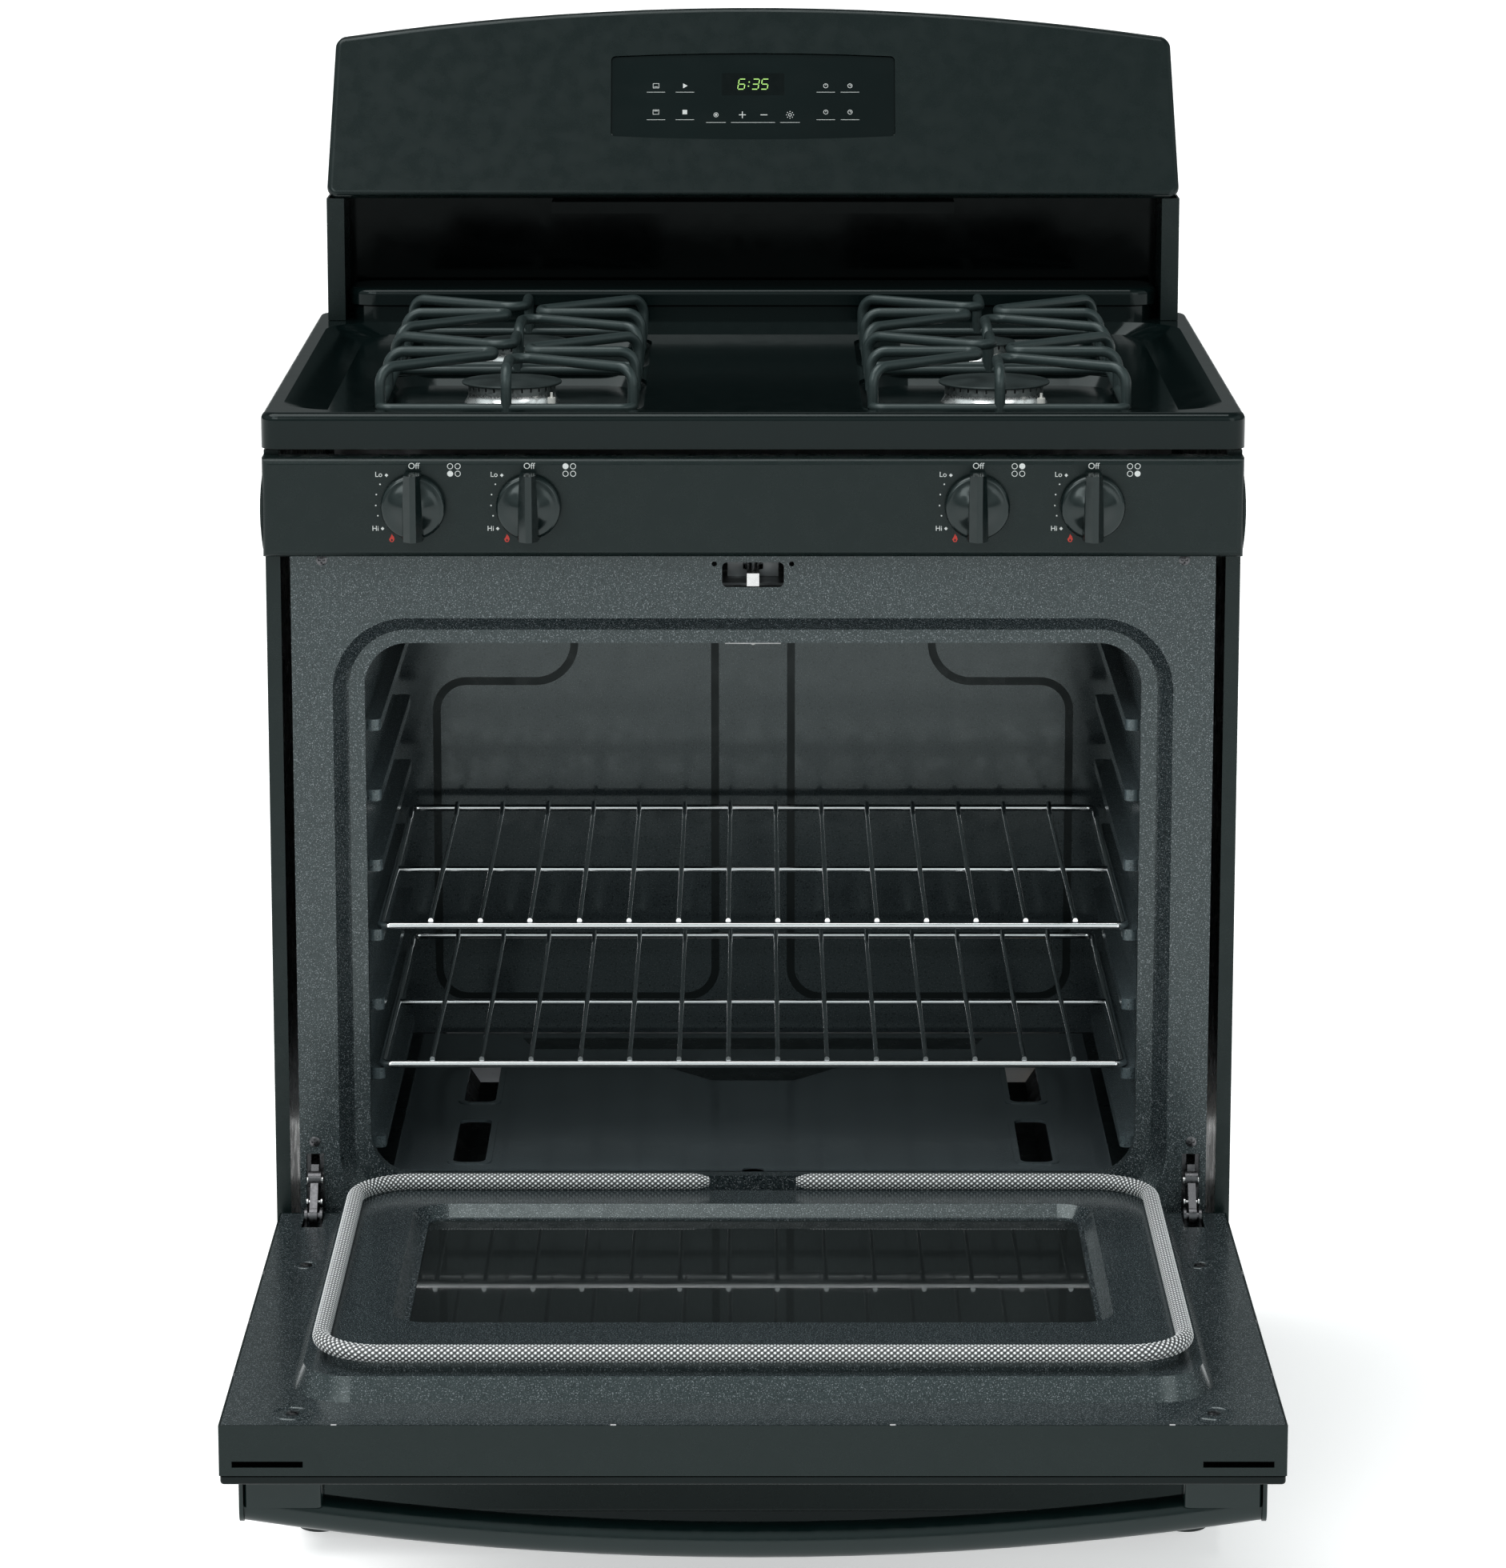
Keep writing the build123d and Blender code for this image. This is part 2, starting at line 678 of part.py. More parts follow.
with BuildPart() as burner_heads:
    for x, y, radius in burner_places:
        ports = round(2 * radius * 0.36)
        with BuildSketch(Plane.XY.offset(ring_low)):
            with Locations((x, y)):
                Circle(radius - 5)
                Circle(radius - 13, mode=Mode.SUBTRACT)
        extrude(amount=cap_low - ring_low)
        with Locations((x, y, cap_low)):
            with PolarLocations(radius - 5, ports):
                Box(8, 1.4, 7, mode=Mode.SUBTRACT)
burner_heads.part.label = "burner_heads"
export_step(burner_heads.part, "parts/burner_heads.step")

cap_edge, cap_dome = 2.4, 2.6
with BuildPart() as burner_caps:
    for x, y, radius in burner_places:
        rim = radius - 1.2
        sphere = (rim**2 + cap_dome**2) / (2 * cap_dome)
        half_way = rim / 2
        half_way_up = cap_low + cap_edge + cap_dome - sphere + (sphere**2 - half_way**2) ** 0.5
        with BuildSketch(Plane((x, y, 0), x_dir=(1, 0, 0), z_dir=(0, -1, 0))):
            with BuildLine():
                Line((0, cap_low), (radius - 1, cap_low))
                ThreePointArc(
                    (radius - 1, cap_low), (radius, cap_low + 1.2), (rim, cap_low + cap_edge)
                )
                ThreePointArc(
                    (rim, cap_low + cap_edge),
                    (half_way, half_way_up),
                    (0, cap_low + cap_edge + cap_dome),
                )
                Line((0, cap_low + cap_edge + cap_dome), (0, cap_low))
            make_face()
        revolve(axis=Axis((x, y, 0), (0, 0, 1)))
burner_caps.part.label = "burner_caps"
export_step(burner_caps.part, "parts/burner_caps.step")

with BuildPart() as burner_igniters:
    for x, y, radius in burner_places:
        with Locations((x + radius * 0.72 + 4, y - radius * 0.72 - 4, well_height + gap)):
            Cylinder(3.2, 9, align=(Align.CENTER, Align.CENTER, Align.MIN))
            Cylinder(1, 13, align=(Align.CENTER, Align.CENTER, Align.MIN))
burner_igniters.part.label = "burner_igniters"
export_step(burner_igniters.part, "parts/burner_igniters.step")

# four wire grates, each one frame with two hairpins and two bent fingers
leg_bend = 13
u_half, u_reach = 14, 22
for side, sign in sides.items():
    for row, depth in burner_rows.items():
        a, b, low, top = grate_half_width, grate_half_depth, grate_base, grate_top
        foot = low - 1
        hairpin = [(-a, -b + 10, foot), (-a, -b + 10, top), (-u_half, -u_reach, top),
                   (-u_half, 0, top), (-a, 0, top), (-a, 0, foot)]
        finger = [(-a, b - 10, foot), (-a, b - 10, top), (0, 30, top), (0, b, top), (0, b, foot)]
        with BuildPart() as grate:
            with BuildLine() as outline:
                FilletPolyline(
                    (-a, -b, low), (a, -b, low), (a, b, low), (-a, b, low), close=True, radius=9
                )
            with BuildSketch(outline.line ^ 0):
                Circle(grate_rail / 2)
            sweep()
            for points, radii in (hairpin, [leg_bend, 9, 9, leg_bend]), (finger, [leg_bend, 12, leg_bend]):
                for turn in (1, -1):
                    turned = [(turn * x, turn * y, z) for x, y, z in points]
                    add(rod(turned, radii, grate_rod))
        grate.part = grate.part.moved(Location((sign * burner_x, deep(depth), 0)))
        grate.part.label = f"grate_{side}_{row}"
        export_step(grate.part, f"parts/grate_{side}_{row}.step")

# ---- gas supply and burner controls ----
manifold_y, pipe_radius = deep(28), 9
with BuildPart() as gas_manifold:
    with Locations((-15, manifold_y, knob_height)):
        Cylinder(pipe_radius, 640, rotation=(0, 90, 0))
        Cylinder(pipe_radius - 2, 620, rotation=(0, 90, 0), mode=Mode.SUBTRACT)
gas_manifold.part.label = "gas_manifold"
export_step(gas_manifold.part, "parts/gas_manifold.step")

panel_face = deep(-panel_out)
stem_radius = 3
with BuildPart() as gas_valves:
    for x in knob_x:
        with Locations((x, deep(2), knob_height)):
            Box(20, 26, 24)
        with Locations((x, deep(-13), knob_height)):
            Cylinder(8, 6, rotation=(90, 0, 0))
        with Locations((x, deep(-4), knob_height)):
            Cylinder(stem_radius + 0.05, 30, rotation=(90, 0, 0), mode=Mode.SUBTRACT)
    with Locations((-15, manifold_y, knob_height)):
        Cylinder(pipe_radius, 700, rotation=(0, 90, 0), mode=Mode.SUBTRACT)
gas_valves.part.label = "gas_valves"
export_step(gas_valves.part, "parts/gas_valves.step")

panel_mid = (panel_low + panel_high) / 2
with BuildPart() as control_panel:
    with Locations((0, panel_face + 11.5, panel_mid)):
        Box(756, 23, panel_high - panel_low)
    fillet(control_panel.faces().sort_by(Axis.Y)[0].edges(), 5)
    with Locations((0, panel_face + 14, panel_mid)):
        Box(752, 24, panel_high - panel_low - 4, mode=Mode.SUBTRACT)
    with Locations(*[(x, panel_face, knob_height) for x in knob_x]):
        Cylinder(5, 20, rotation=(90, 0, 0), mode=Mode.SUBTRACT)
    for sign in sides.values():
        with BuildSketch(Plane.XZ.offset(-panel_face - 4)):
            with BuildLine():
                edge_x = sign * 378
                ThreePointArc(
                    (edge_x, panel_low + 6), (sign * 380, panel_mid - 4), (edge_x, panel_high - 14)
                )
                Line((edge_x, panel_high - 14), (edge_x, panel_low + 6))
            make_face()
        extrude(amount=-19)
control_panel.part.label = "control_panel"
export_step(control_panel.part, "parts/control_panel.step")

knob_back = panel_face - knob_travel - 0.7


def grip_solid(plane):
    """The knob's grip: a tapered outline cut to a ridged cross section."""
    with BuildPart(mode=Mode.PRIVATE) as grip:
        with BuildSketch(plane):
            Polygon((-8.5, -24.4), (8.5, -24.4), (6.2, 27), (-6.2, 27), align=None)
        extrude(amount=25)
        section = Plane(plane.origin + (0, 0, -25), x_dir=(1, 0, 0), z_dir=(0, 0, 1))
        with BuildSketch(section):
            Polygon((-9, 0), (9, 0), (7.5, -17), (3, -24), (-1, -25), (-7.2, -19), align=None)
            fillet(vertices().sort_by(Axis.Y)[:4], 1.5)
        extrude(amount=60, mode=Mode.INTERSECT)
    return grip.part


knob_names = ("left_front", "left_rear", "right_rear", "right_front")
for name, x in zip(knob_names, knob_x):
    knob_plane = Plane((x, knob_back, knob_height), x_dir=(1, 0, 0), z_dir=(0, -1, 0))
    with BuildPart() as knob:
        with BuildSketch(Plane((x, knob_back, knob_height), x_dir=(1, 0, 0), z_dir=(0, 0, 1))):
            with BuildLine():
                Polyline((0, 0), (25, 0), (25, -3))
                ThreePointArc((25, -3), (24.2, -5.2), (22, -6.5))
                Spline((22, -6.5), (17, -8), (9, -13), (0, -14))
                Line((0, -14), (0, 0))
            make_face()
        revolve(axis=Axis((x, knob_back, knob_height), (0, 1, 0)))
        add(grip_solid(knob_plane))
        with BuildSketch(knob_plane):
            Circle(stem_radius + 0.05)
        extrude(amount=14, mode=Mode.SUBTRACT)
    knob.part.label = f"knob_{name}"
    export_step(knob.part, f"parts/knob_{name}.step")
    with BuildPart() as stem:
        with BuildSketch(knob_plane.offset(13)):
            Circle(stem_radius)
        extrude(amount=-(13 + deep(5) - knob_back))
    stem.part.label = f"valve_stem_{name}"
    export_step(stem.part, f"parts/valve_stem_{name}.step")

# ---- backguard ----
guard_low, guard_front, guard_back = 1020, 553, 633
face_rise, face_run = 150, 69
guard_half = 368
guard_corner_height = 1152
side_slant = 6
guard_sheet = 2


def guard_body(inset):
    """The sloping housing: its side profile cut to the arched front outline."""
    half, arch, low = guard_half - inset, total_height - inset, guard_low + inset
    shoulder = guard_corner_height - inset
    lean = face_run / face_rise
    with BuildPart(mode=Mode.PRIVATE) as body:
        with BuildSketch(Plane.YZ.offset(-half)):
            with BuildLine():
                Polyline(
                    (deep(guard_front) + inset * 1.1 + inset * lean, low),
                    (deep(guard_front + lean * (total_height - guard_low)) + inset * 1.1, total_height),
                    (deep(guard_back) + inset, total_height),
                    (deep(guard_back) + inset, low),
                    close=True,
                )
            make_face()
        extrude(amount=2 * half)
        with BuildSketch(Plane.XZ.offset(-deep(guard_back) - 50)) as outline:
            with BuildLine():
                ThreePointArc((half - side_slant, shoulder), (0, arch), (-half + side_slant, shoulder))
                Polyline((-half + side_slant, shoulder), (-half, low), (half, low),
                         (half - side_slant, shoulder))
            make_face()
            fillet(outline.vertices(), 9 - inset)
        extrude(amount=300, mode=Mode.INTERSECT)
    return body.part


face_angle = 24.7
face_plane = Plane(
    (0, deep(guard_front), guard_low),
    x_dir=(1, 0, 0),
    z_dir=(0, -cos(radians(face_angle)), sin(radians(face_angle))),
)
glass_mid = 93.5


def glass_outline(plane, grow):
    """The control glass seen square on, bowed along its top and bottom."""
    half, rise, bow = 122.5 + grow, 36 + grow, 3
    with BuildSketch(plane, mode=Mode.PRIVATE) as outline:
        with BuildLine():
            ThreePointArc((-half, glass_mid + rise), (0, glass_mid + rise + bow), (half, glass_mid + rise))
            Line((half, glass_mid + rise), (half, glass_mid - rise))
            ThreePointArc((half, glass_mid - rise), (0, glass_mid - rise - bow), (-half, glass_mid - rise))
            Line((-half, glass_mid - rise), (-half, glass_mid + rise))
        make_face()
        fillet(outline.vertices(), 4)
    return outline.sketch


with BuildPart() as backguard_housing:
    add(guard_body(0))
    fillet(backguard_housing.faces().sort_by(Axis.Y)[0].edges(), 5)
    add(guard_body(guard_sheet), mode=Mode.SUBTRACT)
    extrude(glass_outline(face_plane.offset(4), 0.4), amount=-12, mode=Mode.SUBTRACT)
    with Locations((0, deep(632), guard_low)):
        Box(706, 8, 10, mode=Mode.SUBTRACT)
backguard_housing.part.label = "backguard_housing"
export_step(backguard_housing.part, "parts/backguard_housing.step")

with BuildPart() as control_glass:
    extrude(glass_outline(face_plane.offset(-1.6), 0), amount=-3)
control_glass.part.label = "control_glass"
export_step(control_glass.part, "parts/control_glass.step")

with BuildPart() as backguard_brackets:
    for sign in sides.values():
        with Locations((sign * 360.5, deep(592), (cooktop_height + gap + guard_low) / 2)):
            Box(15, 70, guard_low - cooktop_height - gap)
            Box(12, 67, 200, mode=Mode.SUBTRACT)
backguard_brackets.part.label = "backguard_brackets"
export_step(backguard_brackets.part, "parts/backguard_brackets.step")

with BuildPart() as backguard_back_panel:
    with Locations((0, deep(630.5), (900 + 1150) / 2)):
        Box(704, sheet, 250)
    with Locations((0, deep(630.5), (900 + guard_low - gap) / 2)):
        Box(726, sheet, guard_low - gap - 900)
    with Locations((0, deep(612), 1012)):
        Box(350, 36, 2)
    with Locations((0, deep(594.8), 1008)):
        Box(350, sheet, 10)
    for step in range(4):
        with Locations((0, deep(630), 1060 + 18 * step)):
            with GridLocations(60, 1, 8, 1):
                Box(40, 8, 4, mode=Mode.SUBTRACT)
backguard_back_panel.part.label = "backguard_back_panel"
export_step(backguard_back_panel.part, "parts/backguard_back_panel.step")

inlet_x, inlet_z = 262, 120
with BuildPart() as gas_inlet:
    with Locations((inlet_x, deep(612), inlet_z)):
        Cylinder(10.5, 44, rotation=(90, 0, 0))
    with Locations((inlet_x, deep(575), inlet_z)):
        Cylinder(24, 30, rotation=(90, 0, 0))
    with Locations((inlet_x, deep(575), inlet_z + 20)):
        Cylinder(9, 60, align=(Align.CENTER, Align.CENTER, Align.MIN))
gas_inlet.part.label = "gas_inlet"
export_step(gas_inlet.part, "parts/gas_inlet.step")

with BuildPart() as cord_gland:
    with Locations((-262, back - 2.5 * sheet - gap, rear_low - 15)):
        Box(44, sheet, 70)
    with Locations((-262, deep(625), 150)):
        Cylinder(15.8, 14, rotation=(90, 0, 0))
        Cylinder(5, 40, rotation=(90, 0, 0), mode=Mode.SUBTRACT)
cord_gland.part.label = "cord_gland"
export_step(cord_gland.part, "parts/cord_gland.step")

# ---- door lock ----
lock_pivot_y, lock_z = deep(44), 786
with BuildPart() as door_lock_housing:
    with Locations((0, deep(58), lock_z - 12)):
        Box(70, 60, 2)
    with Locations((0, lock_pivot_y, lock_z - 11)):
        Cylinder(3, 18, align=(Align.CENTER, Align.CENTER, Align.MIN))
    with Locations((0, deep(72), lock_z - 2)):
        Box(40, 22, 18)
door_lock_housing.part.label = "door_lock_housing"
export_step(door_lock_housing.part, "parts/door_lock_housing.step")

with BuildPart() as door_lock_hook:
    with BuildSketch(Plane.XY.offset(lock_z - 2)):
        with Locations((0, lock_pivot_y)):
            Circle(8)
        with Locations((0, (lock_pivot_y + deep(-4)) / 2)):
            Rectangle(9.5, lock_pivot_y - deep(-4))
        with Locations((0, lock_pivot_y)):
            Circle(3.05, mode=Mode.SUBTRACT)
    extrude(amount=4)
    with Locations((0, deep(-2.75), lock_z - 3)):
        Box(9.5, 2.5, 10)
door_lock_hook.part.label = "door_lock_hook"
export_step(door_lock_hook.part, "parts/door_lock_hook.step")

# ---- oven racks ----
wire_count, wire_pitch = 14, 39.4
rear_rise = 6
for level, height in rack_levels.items():
    with BuildPart() as rack:
        half, near, far = rack_half_width, deep(rack_front), deep(rack_rear)
        with BuildLine() as outline:
            FilletPolyline(
                (half, near, height),
                (half, far - 24, height),
                (half, far, height + rear_rise),
                (-half, far, height + rear_rise),
                (-half, far - 24, height),
                (-half, near, height),
                close=True,
                radius=7,
            )
        with BuildSketch(outline.line ^ 0):
            Circle(rack_frame_wire / 2)
        sweep(transition=Transition.ROUND)
        with Locations((0, deep(254), height)):
            Cylinder(2.6, 2 * half, rotation=(0, 90, 0))
        for step in range(wire_count):
            x = (step - (wire_count - 1) / 2) * wire_pitch
            top = height + rack_frame_wire / 2 + rack_wire / 2 - 1
            add(rod(
                [(x, near, top), (x, far - 26, top), (x, far, top + rear_rise)], [14], rack_wire
            ))
    rack.part.label = f"rack_{level}"
    export_step(rack.part, f"parts/rack_{level}.step")

# ---- storage drawer ----
drawer_mid = (drawer_low + drawer_high) / 2
with BuildPart() as drawer_front:
    with Locations((0, deep(-drawer_out / 2 - 1.5), drawer_mid)):
        Box(door_width, drawer_out - 3, drawer_high - drawer_low)
    fillet(drawer_front.faces().sort_by(Axis.Y)[0].edges(), 4)
    with Locations((0, deep(-drawer_out / 2 + 1), drawer_mid)):
        Box(door_width - 3, drawer_out, drawer_high - drawer_low - 3, mode=Mode.SUBTRACT)
    with Locations((0, deep(-4), drawer_mid)):
        Box(door_width - 3, 2, drawer_high - drawer_low - 3)
drawer_front.part.label = "drawer_front"
export_step(drawer_front.part, "parts/drawer_front.step")

box_half, box_low, box_high, box_back = 334, 70, 200, 520
runner_low, runner_high = 128, 142
with BuildPart() as drawer_box:
    with Locations((0, deep((box_back - 3) / 2), (box_low + box_high) / 2)):
        Box(2 * box_half, box_back + 3, box_high - box_low)
    with Locations((0, deep((box_back - 3) / 2), (box_low + box_high) / 2 + sheet)):
        Box(2 * (box_half - sheet), box_back + 3 - 2 * sheet, box_high - box_low, mode=Mode.SUBTRACT)
    for sign in sides.values():
        with Locations((sign * (box_half + 5), deep(260), (runner_low + runner_high) / 2)):
            Box(10, 500, runner_high - runner_low)
drawer_box.part.label = "drawer_box"
export_step(drawer_box.part, "parts/drawer_box.step")

with BuildPart() as drawer_rails:
    for sign in sides.values():
        with Locations((sign * (box_half + 12), deep(275), (runner_low + runner_high) / 2)):
            Box(20, 510, 32)
        with Locations((sign * (box_half + 5), deep(275), (runner_low + runner_high) / 2)):
            Box(12, 520, runner_high - runner_low + 1, mode=Mode.SUBTRACT)
drawer_rails.part.label = "drawer_rails"
export_step(drawer_rails.part, "parts/drawer_rails.step")
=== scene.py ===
"""Looks for the freestanding gas range: materials, printed marks, braided gasket, small fittings."""

import json
from math import cos, pi, radians, sin

import bmesh
import bpy
from mathutils import Matrix, Vector


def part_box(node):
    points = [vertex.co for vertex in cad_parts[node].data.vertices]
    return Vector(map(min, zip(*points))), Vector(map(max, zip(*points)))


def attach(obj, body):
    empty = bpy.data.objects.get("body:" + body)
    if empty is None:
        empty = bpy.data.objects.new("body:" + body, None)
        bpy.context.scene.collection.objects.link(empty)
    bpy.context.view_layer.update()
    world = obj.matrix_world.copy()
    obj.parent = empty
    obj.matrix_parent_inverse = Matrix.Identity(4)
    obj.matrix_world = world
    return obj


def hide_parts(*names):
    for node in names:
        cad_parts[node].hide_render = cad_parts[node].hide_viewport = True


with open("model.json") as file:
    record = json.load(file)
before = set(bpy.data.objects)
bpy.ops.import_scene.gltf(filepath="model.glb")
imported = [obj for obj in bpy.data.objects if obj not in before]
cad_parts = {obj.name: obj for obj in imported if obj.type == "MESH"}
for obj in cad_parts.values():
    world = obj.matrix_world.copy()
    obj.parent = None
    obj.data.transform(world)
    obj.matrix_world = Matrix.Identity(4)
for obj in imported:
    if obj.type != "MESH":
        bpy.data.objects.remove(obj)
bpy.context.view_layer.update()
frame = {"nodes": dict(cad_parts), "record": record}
nodes = frame["nodes"]
MM = 0.001

# ---- places read from the frame, in metres ----
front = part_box("oven_front_frame")[0].y  # plane of the front frame
panel_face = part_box("control_panel")[0].y
gasket_low, gasket_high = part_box("door_gasket")
door_low, door_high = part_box("door_outer_shell")
knobs = {
    name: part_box(f"knob_{name}") for name in ("left_front", "left_rear", "right_rear", "right_front")
}


# ---------------------------------------------------------------- node helpers
def link(tree, source, target):
    tree.links.new(source, target)


def new_material(name, color, roughness, metallic=0.0, specular=0.5, **sockets):
    """A node material with one Principled shader; extra sockets are set by name."""
    material = bpy.data.materials.new(name)
    material.use_nodes = True
    shader = material.node_tree.nodes["Principled BSDF"]
    shader.inputs["Base Color"].default_value = (*color, 1)
    shader.inputs["Roughness"].default_value = roughness
    shader.inputs["Metallic"].default_value = metallic
    shader.inputs["Specular IOR Level"].default_value = specular
    for socket, value in sockets.items():
        shader.inputs[socket.replace("_", " ")].default_value = value
    return material


def noise(material, scale, detail=2.0, stretch=(1, 1, 1)):
    """Noise in the object's own metres; returns its factor socket."""
    tree = material.node_tree
    place = tree.nodes.new("ShaderNodeTexCoord")
    mapping = tree.nodes.new("ShaderNodeMapping")
    mapping.inputs["Scale"].default_value = stretch
    texture = tree.nodes.new("ShaderNodeTexNoise")
    texture.inputs["Scale"].default_value = scale
    texture.inputs["Detail"].default_value = detail
    link(tree, place.outputs["Object"], mapping.inputs["Vector"])
    link(tree, mapping.outputs["Vector"], texture.inputs["Vector"])
    return texture.outputs["Fac"]


def ramp(material, factor, *stops):
    """A colour ramp on a factor, from (position, colour) stops; returns its colour socket."""
    tree = material.node_tree
    node = tree.nodes.new("ShaderNodeValToRGB")
    elements = node.color_ramp.elements
    while len(elements) < len(stops):
        elements.new(0.5)
    for element, (position, color) in zip(elements, stops):
        element.position = position
        element.color = (*color, 1)
    link(tree, factor, node.inputs["Fac"])
    return node.outputs["Color"]


def spread(material, factor, low, high, from_low=0.35, from_high=0.65):
    """A factor remapped to the range low to high."""
    tree = material.node_tree
    node = tree.nodes.new("ShaderNodeMapRange")
    limits = {"From Min": from_low, "From Max": from_high, "To Min": low, "To Max": high}
    for socket, value in limits.items():
        node.inputs[socket].default_value = value
    link(tree, factor, node.inputs["Value"])
    return node.outputs["Result"]


def drive(material, socket, output):
    """Link an output to a socket of the material's shader."""
    link(material.node_tree, output, material.node_tree.nodes["Principled BSDF"].inputs[socket])


def bump(material, factor, strength, distance):
    """Raise the surface by a factor; distance is in metres."""
    tree = material.node_tree
    node = tree.nodes.new("ShaderNodeBump")
    node.inputs["Strength"].default_value = strength
    node.inputs["Distance"].default_value = distance
    link(tree, factor, node.inputs["Height"])
    drive(material, "Normal", node.outputs["Normal"])


def mixed(material, factor, first, second):
    """A colour mix of two sockets or colours by a factor socket; returns the mixed colour."""
    tree = material.node_tree
    node = tree.nodes.new("ShaderNodeMix")
    node.data_type = "RGBA"
    link(tree, factor, node.inputs["Factor"])
    for socket, value in ((node.inputs[6], first), (node.inputs[7], second)):
        if isinstance(value, bpy.types.NodeSocket):
            link(tree, value, socket)
        else:
            socket.default_value = (*value, 1)
    return node.outputs[2]


# ---------------------------------------------------------------- materials
cool_tint = (0.88, 1.0, 0.995)  # tint of the enamel's reflections


def enamel(name, color, roughness, specular, peel=0.25):
    """Sprayed enamel: fine colour grain, fine orange peel and slightly uneven gloss."""
    material = new_material(name, color, roughness, specular=specular, Specular_Tint=(*cool_tint, 1))
    drift = noise(material, 750, 2)
    drive(material, "Base Color", ramp(
        material, drift, (0.3, [0.9 * c for c in color]), (0.7, [1.12 * c for c in color])
    ))
    drive(material, "Roughness", spread(material, noise(material, 60, 4), roughness * 0.85, roughness * 1.2))
    bump(material, noise(material, 420, 2), peel, 0.00004)
    return material


def porcelain(name, base, light_speck, dark_speck, roughness, amount=0.0):
    """Fired porcelain: a ground coat with fine light and dark specks under a clear gloss."""
    material = new_material(name, base, roughness, specular=0.5, Specular_Tint=(*cool_tint, 1))
    fine, coarse = noise(material, 1150, 1), noise(material, 620, 1, (1.0, 1.1, 0.93))
    ground = ramp(
        material, noise(material, 14, 3), (0.3, [0.9 * c for c in base]), (0.7, [1.1 * c for c in base])
    )
    dark = mixed(material, spread(material, coarse, 0, 1, 0.60 - amount, 0.66 - amount), ground, dark_speck)
    light = mixed(material, spread(material, fine, 0, 1, 0.61 - amount, 0.70 - amount), dark, light_speck)
    drive(material, "Base Color", light)
    drive(material, "Roughness", spread(material, noise(material, 90, 3), roughness * 0.8, roughness * 1.25))
    bump(material, noise(material, 520, 2), 0.3, 0.00006)
    return material


def metal(name, color, roughness, grain=400, stretch=(1, 1, 1), depth=0.00003):
    """Bare or plated metal with grain in its gloss and a fine bump."""
    material = new_material(name, color, roughness, metallic=1.0)
    grain_factor = noise(material, grain, 3, stretch)
    drive(material, "Roughness", spread(material, grain_factor, roughness * 0.75, roughness * 1.3))
    drive(material, "Base Color", ramp(
        material, noise(material, 25, 3), (0.3, [0.88 * c for c in color]), (0.7, color)
    ))
    bump(material, grain_factor, 0.25, depth)
    return material


def moulded(name, color, roughness, specular=0.5, depth=0.00002):
    """Moulded plastic or rubber with a faint texture."""
    material = new_material(name, color, roughness, specular=specular, Specular_Tint=(*cool_tint, 1))
    drive(material, "Roughness", spread(material, noise(material, 150, 3), roughness * 0.8, roughness * 1.25))
    drive(material, "Base Color", ramp(
        material, noise(material, 40, 2), (0.3, [0.9 * c for c in color]), (0.7, [1.12 * c for c in color])
    ))
    bump(material, noise(material, 700, 2), 0.3, depth)
    return material


def printed(name, color, glow=0.0):
    """Screen-printed ink with a slightly worn density."""
    material = new_material(name, color, 0.45, specular=0.3)
    drive(material, "Base Color", ramp(
        material, noise(material, 900, 2), (0.3, [0.85 * c for c in color]), (0.65, color)
    ))
    if glow:
        shader = material.node_tree.nodes["Principled BSDF"]
        shader.inputs["Emission Color"].default_value = (*color, 1)
        shader.inputs["Emission Strength"].default_value = glow
    return material


def dark_glass(name, color, roughness=0.03, specular=0.5):
    """Glass drawn opaque and almost black: the glass's own tint together with painted shade of the dark space
    behind it, with full gloss and faint wipe marks.
    """
    material = new_material(name, color, roughness, specular=specular)
    wipes = noise(material, 30, 5, (1, 4, 1))
    drive(material, "Roughness", spread(material, wipes, roughness, roughness * 2.2))
    drive(material, "Base Color", ramp(
        material, noise(material, 6, 2), (0.3, [0.8 * c for c in color]), (0.7, [1.2 * c for c in color])
    ))
    return material


def braid_cloth():
    """Glass-fibre braid: pale fibre, with painted light on the strand tops and painted shade in the gaps
    between them, both read from the mesh's own height.
    """
    material = new_material("gasket_braid", (0.5, 0.5, 0.5), 0.55, specular=0.5)
    tree = material.node_tree
    height = tree.nodes.new("ShaderNodeAttribute")
    height.attribute_name = "painted_strand_shade"
    # near black in the gaps is painted shade, near white on the tops is painted light over the fibre's pale
    # colour
    painted_strand_shade = ramp(material, height.outputs["Fac"], (0.15, (0.006, 0.007, 0.008)), (0.5, (0.13, 0.137, 0.14)),
                  (0.82, (0.95, 0.965, 0.975)))
    soot = spread(material, noise(material, 35, 3), 0.0, 0.12)
    drive(material, "Base Color", mixed(material, soot, painted_strand_shade, (0.2, 0.19, 0.18)))
    bump(material, noise(material, 2600, 2, (1, 1, 3)), 0.4, 0.00008)
    return material


